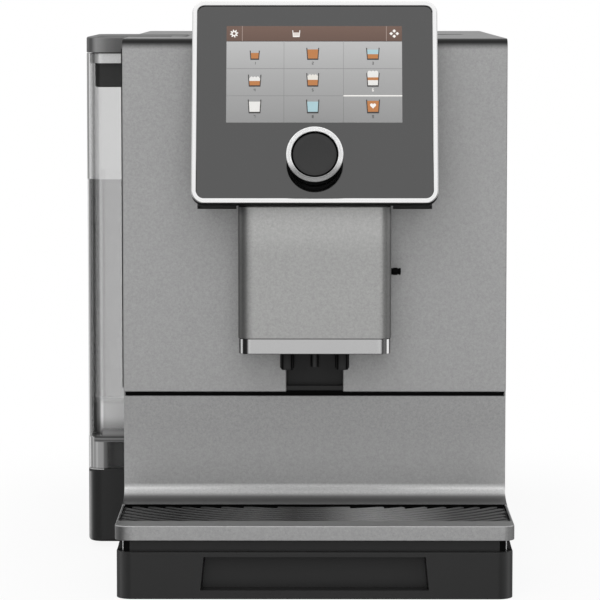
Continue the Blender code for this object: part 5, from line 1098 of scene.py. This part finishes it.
class MACHINE_OT_screen(Maker):
    """Screen: header with its icons, and nine cup pictograms in three rows, as flat coloured shapes"""
    bl_idname = "machine.screen"
    bl_label = "Screen"

    # edges of the lit field, its two column lines and its three row lines, in millimetres across and up the face
    LEFT, RIGHT, LOW, HIGH = -56.2, 55.5, 53.2, 116.9
    COLUMNS, ROWS = (-19.6, 18.2), (106.9, 88.7, 70.8)

    def layout_bars(self, picture, header, white):
        """The fading ground, the header and the lines between the nine fields."""
        left, right, low, high = self.LEFT, self.RIGHT, self.LOW, self.HIGH
        middle, (header_low, *row_lines) = (low + high) / 2, self.ROWS
        picture.bar(left, middle, right, high, linear(188), linear(163))
        picture.bar(left, low, right, middle, linear(163), linear(142))
        picture.bar(left, header_low, right, high, header, tuple(0.8 * c for c in header))
        for x in (-46.2, 45.6):
            picture.bar(x - 0.16, header_low, x + 0.16, high, linear(166, 148, 140))
        picture.bar(left, header_low - 0.25, right, header_low + 0.15, linear(72, 62, 58))
        for x in self.COLUMNS:
            picture.bar(x - 0.18, low, x + 0.18, header_low, linear(152), linear(122))
        for y in row_lines:
            picture.bar(left, y - 0.18, right, y + 0.18, linear(134))
        picture.bar(self.COLUMNS[1], row_lines[1] - 0.4, right, row_lines[1] + 0.4, white)

    def header_icons(self, picture, header, white):
        """A toothed wheel, four lozenges and a small cup in the header."""
        up = (self.ROWS[0] + self.HIGH) / 2
        angle = np.linspace(0, 2 * np.pi, 48, endpoint=False)
        teeth = 2.15 + 0.55 * np.clip(2.2 * np.sin(8 * angle), -1, 1)
        picture.lay(np.stack([-51.4 + teeth * np.cos(angle), up + teeth * np.sin(angle)], 1), white)
        picture.disc(-51.4, up, 0.95, header)
        for x, y in ((0, 1.75), (1.95, 0), (0, -1.75), (-1.95, 0)):
            picture.lay(np.array([(0, 1.15), (-1.15, 0), (0, -1.15), (1.15, 0)]) + (50.6 + x, up + y), white)
        picture.cup(-11.8, up - 2.2, 5.0, 4.4, white, [(0.62, linear(214, 206, 200))], 0.5)

    def nine_cups(self, picture, coffee, water, white):
        """The nine cups with their numbers, then foam bubbles on three of them and a heart in the last."""
        first, second = self.COLUMNS
        centres = ((self.LEFT + first) / 2 - 0.3, (first + second) / 2 - 0.6, (second + self.RIGHT) / 2 + 0.1)
        foam, cream, dark, feet = linear(222, 219, 212), linear(224, 223, 220), linear(58, 55, 54), (94.6, 76.9, 59.4)
        cups = (((6.4, 6.0, [(0.72, coffee)]), (8.2, 7.8, [(0.86, coffee)]),
                 (8.6, 7.8, [(0.42, coffee), (0.42, water)])),
                ((8.6, 7.8, [(0.42, coffee), (0.26, cream)]), (8.2, 8.8, [(0.46, coffee), (0.34, foam)]),
                 (8.4, 9.0, [(0.42, cream), (0.22, coffee), (0.36, cream)])),
                ((8.6, 8.8, [(0.84, cream)]), (8.4, 8.8, [(0.84, water)]), (8.8, 8.8, [(0.90, coffee)])))
        for number, (foot, row) in enumerate(zip(feet, cups)):
            for place, (x, (wide, tall, fills)) in enumerate(zip(centres, row)):
                picture.cup(x, foot, wide, tall, dark, fills)
                chosen = (number, place) == (1, 2)
                picture.number(x, foot - 2.3, 3 * number + place + 1, white if chosen else linear(92), 0.78)
        for step in (-1, 0, 1):
            for place, apart, up, radius, colour in ((2, 2.1, 9.1, 1.25, cream), (0, 2.0, 5.5, 1.0, cream),
                                                     (1, 1.8, 7.0, 0.9, foam)):
                picture.disc(centres[place] + step * apart, feet[1] + up, radius, colour)
        beat = np.linspace(0, 2 * np.pi, 32, endpoint=False)
        heart = np.stack([16 * np.sin(beat) ** 3, 13 * np.cos(beat) - 5 * np.cos(2 * beat) - 2 * np.cos(3 * beat)
                          - np.cos(4 * beat)], 1) * 0.12
        picture.lay(heart[::-1] + (centres[2], feet[2] + 4.8), white)

    def execute(self, context):
        display, picture, white = look("display"), Picture(-0.5 * MM), linear(238, 236, 232)
        header, coffee, water = tuple(display.header), tuple(display.coffee), tuple(display.water)
        self.layout_bars(picture, header, white)
        self.header_icons(picture, header, white)
        self.nine_cups(picture, coffee, water, white)
        mesh = mesh_of("screen_picture", moved(together(*picture.shapes), display_matrix()))
        layer = mesh.color_attributes.new("picture", "FLOAT_COLOR", "POINT")
        layer.data.foreach_set("color", np.concatenate(picture.colours).ravel())
        material = bpy.data.materials.new("screen_lit")
        lit_screen(Graph(material), display.glow)
        mended(mesh, weld=0).materials.append(material)
        obj = linked("screen_picture", mesh)
        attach(obj, "housing")
        return {"FINISHED"}


class MACHINE_OT_knob(Maker):
    """Knob: a turned cap with a dished top in its bright ring, on the steel shaft"""
    bl_idname = "machine.knob"
    bl_label = "Knob"

    def execute(self, context):
        def turned_piece(name, profile, finish, node, crease, looped=False):
            """A piece turned about the knob's axis from (radius, height out of the face)."""
            shape = moved(skin(turned(profile, 96), looped=looped), display_matrix(KNOB_UP))
            piece(name, shape, finish, "knob", node, crease=crease)

        ring, bore, cap, top, back, shaft = 18.0 * MM, 14.4 * MM, 17.2 * MM, 13.5 * MM, 1.6 * MM, 3.3 * MM
        inner, seat, shoulder = bore + 0.5 * MM, top - 3.0 * MM, top - 0.75 * MM
        groove = [(ring - share * (ring - inner), top - (0.42 - 0.12 * (step % 2)) * MM)
                  for step, share in enumerate(np.linspace(0.26, 0.80, 9))]
        turned_piece("knob_ring_plated", [(ring - 0.15 * MM, shoulder),
                                          *arc((ring - 0.6 * MM, shoulder), 0.6 * MM, 10, 90, 6), *groove,
                                          *arc((inner + 0.5 * MM, top - 0.65 * MM), 0.5 * MM, 90, 180, 5),
                                          (inner, shoulder)], "ring_satin", "knob_ring", 50, True)
        turned_piece("knob_ring_back", [(ring - 0.1 * MM, seat), (ring - 0.1 * MM, shoulder), (bore, shoulder),
                                        (bore, seat)], "edge_black", "knob_ring", 50, True)
        lip = bore - 0.3 * MM
        face, under = lip - 0.35 * MM, top - 6.0 * MM
        dish = [(lip * 0.93 * s, top - 0.9 * MM - 0.75 * MM * (1 - s * s)) for s in np.linspace(1, 0, 12)[1:]]
        side = [(shaft, back), (cap - 0.5 * MM, back), (cap, back + 0.5 * MM), (cap, seat - 0.5 * MM),
                (cap - 0.2 * MM, seat - 0.3 * MM), (lip, seat - 0.3 * MM), (lip, top - 1.1 * MM),
                *arc((lip - 0.3 * MM, top - 1.1 * MM), 0.3 * MM, 0, 90, 4)[1:], *dish]
        turned_piece("knob_cap_turned", [(0.0, under), (shaft, under), *(row for row in side
                                                                         if row[0] >= face or row[1] < seat),
                                         (face, top - 2.2 * MM)], "edge_black", "knob_cap", 40)
        rim, foot = face + 0.1 * MM, top - 4.0 * MM
        turned_piece("knob_face_turned", [(0.0, foot), (rim, foot), (rim, top - 1.3 * MM),
                                          *(row for row in dish if row[0] < face), (0.0, top - 1.65 * MM)],
                     "cap_black", "knob_cap", 40)
        return {"FINISHED"}


# ---------------------------------------------------------------- water tank

class MACHINE_OT_water_tank(Maker):
    """Tank: one clear wall with its floor, the water inside it, the lid with its finger tub, and the base"""
    bl_idname = "machine.water_tank"
    bl_label = "Water tank"

    def tank(self, centre):
        """The clear wall bored for its valve, its floor and the water at its level."""
        low, high = box_of("water_tank")
        corner, wall, floor, rim, cove = TANK_CORNER, TANK_WALL, TANK_FLOOR, 0.6 * MM, 3.0 * MM
        profile = [(wall, floor - wall), (wall, low[2] + 0.4 * MM), (wall - 0.4 * MM, low[2]),
                   *arc((rim, low[2] + rim), rim, 270, 180, 4), *arc((rim, high[2] - rim), rim, 180, 90, 4),
                   (wall - 0.4 * MM, high[2]), (wall, high[2] - 0.4 * MM), (wall, floor + cove),
                   *arc((wall + cove, floor + cove), cove, 180, 270, 5)[1:]]
        bore = rod(5.8 * MM, floor - 2 * wall, floor + wall, 32, centre)
        shell = without(skin(stacked(low, high, corner, profile, 13)), bore)
        piece("tank_wall", shell, "clear_wall", "tank", "water_tank", crease=50)
        inset = wall + 0.1 * MM
        slab = block(*narrowed(low, high, inset, floor + 0.1 * MM, floor + 2.2 * MM), corner - inset, 0.3 * MM,
                     1.4 * MM, 13)
        room = rod(10.5 * MM, floor - wall, floor + 4 * MM, 32, centre)
        piece("tank_floor_pad", without(slab, room), "tank_floor", "tank", crease=50)
        gap = wall + 0.15 * MM
        water = block(*narrowed(low, high, gap, floor + 2.4 * MM, look("tank").level), corner - gap, 2.6 * MM,
                      0.3 * MM, 13)
        piece("tank_water", water, "water", "tank", crease=50)
        dressed_copy("tank_valve", "rubber", "tank", 0.2 * MM)

    def lid(self):
        """The lid's plate over its finger tub, both hollowed out together."""
        low, high = box_of("tank_lid")
        plate_low, side, ahead, long, thick = high[2] - 10.6 * MM, 5.5 * MM, 9.3 * MM, 33.0 * MM, 2.0 * MM
        plate = block((low[0], low[1], plate_low), high, TANK_CORNER, 0.4 * MM, 1.4 * MM, 13)
        tub_low = np.array([low[0] + side, low[1] + ahead, low[2]])
        tub_high = np.array([high[0] - side - 0.3 * MM, low[1] + ahead + long, plate_low])
        tub = block(tub_low, tub_high, 4 * MM, 1.5 * MM)
        hollow = block(tub_low + thick, (*(tub_high[:2] - thick), high[2] + thick), 2 * MM, 1.0 * MM)
        piece("tank_lid_plate", without(plate, hollow), "lid_grey", "tank_lid", "tank_lid", crease=30)
        piece("tank_lid_tub", without(tub, hollow), "tub_grey", "tank_lid", "tank_lid", crease=30)

    def mouth(self):
        """The paler inner edge under the lid."""
        low, high = box_of("water_tank")
        near, thick, upper, lower = TANK_WALL + 0.15 * MM, TANK_WALL + 1.3 * MM, high[2] - 0.4 * MM, high[2] - 6.9 * MM
        profile = [(near, lower), (near, upper), (thick, upper), (thick, lower)]
        piece("tank_mouth", skin(stacked(low, high, TANK_CORNER, profile, 13), looped=True), "frost", "tank", crease=50)

    def base(self, centre):
        """The foot with the boss that the tank stands on, the web to the body and the valve's socket."""
        low, high = box_of("tank_base")
        edge, top, corner, margin = box_of("water_tank")[1][0], TANK_FOOT, TANK_CORNER, 11.0 * MM
        foot = block(low, (edge, high[1], top), corner, 2.2 * MM, 0.5 * MM, 13)
        boss = block(*narrowed(low, (edge, high[1]), margin, top - 2 * MM, high[2]), 8 * MM, 0, 0.8 * MM)
        web = block((edge - corner, low[1] + corner, low[2]), (high[0], high[1] - corner, top - 2 * MM))
        socket = rod(7.5 * MM, top - 7.5 * MM, high[2] + 2 * MM, 40, centre)
        piece("tank_base_moulded", without(united(foot, boss, web), socket), "foot_plastic", "housing", "tank_base",
              crease=30)

    def execute(self, context):
        valve = middle_of("tank_valve")
        self.tank(valve)
        self.lid()
        self.mouth()
        self.base(valve)
        return {"FINISHED"}


class MACHINE_OT_top_lids(Maker):
    """Lids in the top: thin plates with rounded corners and a finger hollow in front, over the hopper and the chute"""
    bl_idname = "machine.top_lids"
    bl_label = "Hopper lid and chute flap"

    def execute(self, context):
        for node, corner in (("hopper_lid", 1.5 * MM), ("chute_flap", 1.0 * MM)):
            low, high = box_of(node)
            reach = min(16 * MM, (high[0] - low[0]) * 0.3)
            angle = np.radians(np.linspace(-8, 188, 33))
            ring = np.stack([(low[0] + high[0]) / 2 + reach * np.cos(angle), low[1] + 9 * MM * np.sin(angle)], 1)
            hollow = skin([at_height(ring, high[2] + up) for up in (-1 * MM, 2 * MM)])
            plate = block(low, high, corner, 0.3 * MM, 0.5 * MM)
            piece(node + "_moulded", without(plate, hollow), "dark_plastic", node, node, crease=30)
        dressed_copy("bean_hopper", "hopper_wall", "housing", 0)
        dressed_copy("powder_chute", "dark_plastic", "housing", 0.2 * MM)
        return {"FINISHED"}


# ---------------------------------------------------------------- what the body holds

class MACHINE_OT_inner_parts(Maker):
    """Parts inside the body: every solid that no piece stands for, in the finish of its slot"""
    bl_idname = "machine.inner_parts"
    bl_label = "Inner parts"

    def execute(self, context):
        others = {"metallic_grey": "body_paint", "dark_plastic": "inner_plastic", "display_glass": "smoked_glass",
                  "clear_plastic": "hopper_wall"}
        for entry in frame["record"]["subparts"]:
            node, slot = frame["nodes"][entry["node"]], entry["material_slot"]
            if not node.hide_render:
                for holder in node.material_slots:
                    holder.material = finish_of(others.get(slot, slot))[0]
        return {"FINISHED"}


# ---------------------------------------------------------------- stage

def studio(world, fill):
    """Light from all round by direction: bright ahead, above, at the sides and behind, with a dim card each side."""
    g = Graph(world)
    x, y, z = g.split(g.add("ShaderNodeTexCoord", out="Generated"))
    side = abs(x) / (x * x + y * y) ** 0.5
    aside = side.ramp(0.17, 0.30) - side.ramp(0.955, 0.985)
    card = aside * (0 - y).ramp(-0.02, 0.02) * (1 - abs(z).ramp(0.30, 0.60))
    low_back = y.ramp(0.3, 0.7) * (1 - abs(z).ramp(0.25, 0.50))
    seen = (1.0 + z.ramp(0.45, 0.80) * 0.20 - card * 0.93 - low_back * 0.72) * (1 - (0 - z).ramp(0.2, 0.5) * 0.7)
    fill = fill * (0.82 + (0 - y) * 0.30)
    camera, glossy, clear = g.rays("Is Camera Ray", "Is Glossy Ray", "Is Transmission Ray")
    bright = camera + (1 - camera) * ((glossy * seen) + (1 - glossy) * (clear * 0.9 + (1 - clear) * fill))
    g.output(g.add("ShaderNodeBackground", pins={"Color": (1.0, 1.0, 1.0, 1.0), "Strength": bright}), "World")


def floor_finish(g, colour):
    """Floor: pale and matt with a faint mottle; it passes into plain white with distance, for what sees it directly."""
    x, y, _ = g.split()
    away, behind, ahead = (abs(x - CENTRE_X) * 1.25).ramp(0.17, 0.42), y.ramp(0.16, 0.50), (0 - y).ramp(0.36, 0.60)
    far = away + behind * (1 - away)
    far = far + ahead * (1 - far)
    matt = g.surface(Base_Color=g.blend(g.noise(3, 4), colour, tuple(0.985 * c for c in colour)), Roughness=0.75)
    white = g.add("ShaderNodeEmission", pins={"Color": (1.0, 1.0, 1.0, 1.0), "Strength": 1.0})
    camera, glossy, clear = g.rays("Is Camera Ray", "Is Glossy Ray", "Is Transmission Ray")
    shown = g.mixed((0.91 + far * 0.09) * (camera + clear), matt, white)
    g.output(g.mixed(glossy * 0.85, shown, g.add("ShaderNodeBsdfTransparent")))


class MACHINE_OT_stage(Maker):
    """Camera, white studio world, large soft lamps and the floor: z = 0 over a wide square"""
    bl_idname = "machine.stage"
    bl_label = "Stage"

    def lamp(self, name, place, aim, size, power):
        """A square lamp that looks from its place at its aim: its rows are right, up and back."""
        data = bpy.data.lights.new(name, "AREA")
        data.shape, data.size, data.energy = "SQUARE", size, power
        obj = linked(name, data)
        obj.location, obj.visible_glossy = place, False
        back = np.subtract(place, aim) / np.linalg.norm(np.subtract(place, aim))
        right = np.cross((0.0, 1.0, 0.0) if abs(back[2]) > 0.9 else (0.0, 0.0, 1.0), back)
        right /= np.linalg.norm(right)
        upward = np.cross(back, right)
        obj.rotation_euler = Matrix(np.stack([right, upward, back], 1).tolist()).to_euler()

    def execute(self, context):
        stage, scene = look("stage"), context.scene
        scene.view_settings.view_transform = "Standard"
        camera = bpy.data.cameras.new("photo_camera")
        camera.sensor_width, camera.lens = 36.0, stage.lens
        camera.clip_start, camera.clip_end = 0.05, 60.0
        scene.camera = linked("photo_camera", camera)
        scene.camera.location = CAMERA_PLACE
        scene.camera.rotation_euler = (math.pi / 2 - CAMERA_DOWN, 0.0, CAMERA_TURN)
        scene.world = bpy.data.worlds.new("studio")
        studio(scene.world, stage.fill)
        self.lamp("key", (-0.10, -2.3, 1.15), (0.0, -0.1, 0.15), 1.7, stage.key)
        self.lamp("top", (0.15, 0.1, 2.0), (0.0, 0.0, 0.2), 1.4, stage.key * 0.1)
        line, (row, column) = np.linspace(-6.0, 6.0, 13), np.mgrid[0:12, 0:12]
        first = (13 * row + column).ravel()
        grid = np.stack([*np.meshgrid(line, line), np.zeros((13, 13))], -1).reshape(-1, 3)
        mesh = mesh_of("floor", (grid, np.stack([first, first + 1, first + 14, first + 13], 1).tolist()))
        mesh.materials.append(bpy.data.materials.new("floor_matt"))
        floor_finish(Graph(mesh.materials[0]), tuple(stage.floor))
        linked("floor", mesh)
        return {"FINISHED"}


# ---------------------------------------------------------------- panel and registration

OPERATORS = (MACHINE_OT_front_panel, MACHINE_OT_body_panels, MACHINE_OT_feet, MACHINE_OT_drawer_front,
             MACHINE_OT_drip_tray, MACHINE_OT_drip_grille, MACHINE_OT_grounds_container, MACHINE_OT_spout,
             MACHINE_OT_display, MACHINE_OT_screen, MACHINE_OT_knob, MACHINE_OT_water_tank, MACHINE_OT_top_lids,
             MACHINE_OT_inner_parts, MACHINE_OT_stage)


class MACHINE_PT_sidebar(bpy.types.Panel):
    """Lists the machine's pieces and their sizes"""
    bl_label = "Coffee machine"
    bl_space_type = "VIEW_3D"
    bl_region_type = "UI"
    bl_category = "Coffee machine"

    def draw(self, context):
        """The sizes and colours of each group, then a button for each operator."""
        for name, group in LOOKS.items():
            box = self.layout.box()
            for field in group.__annotations__:
                box.prop(getattr(context.scene, name), field)
        for operator in OPERATORS:
            self.layout.operator(operator.bl_idname)


CLASSES = (*LOOKS.values(), *OPERATORS, MACHINE_PT_sidebar)


def register():
    """Adds the classes, and a property group of each kind to the scene."""
    for cls in CLASSES:
        bpy.utils.register_class(cls)
    for name, group in LOOKS.items():
        setattr(bpy.types.Scene, name, PointerProperty(type=group))


def unregister():
    """Takes them away again."""
    for name in LOOKS:
        delattr(bpy.types.Scene, name)
    for cls in reversed(CLASSES):
        bpy.utils.unregister_class(cls)


def main():
    """Makes every piece and the stage."""
    register()
    for operator in OPERATORS:
        getattr(bpy.ops.machine, operator.bl_idname.split(".")[1])()
    bpy.context.view_layer.update()


if __name__ == "__main__":
    main()
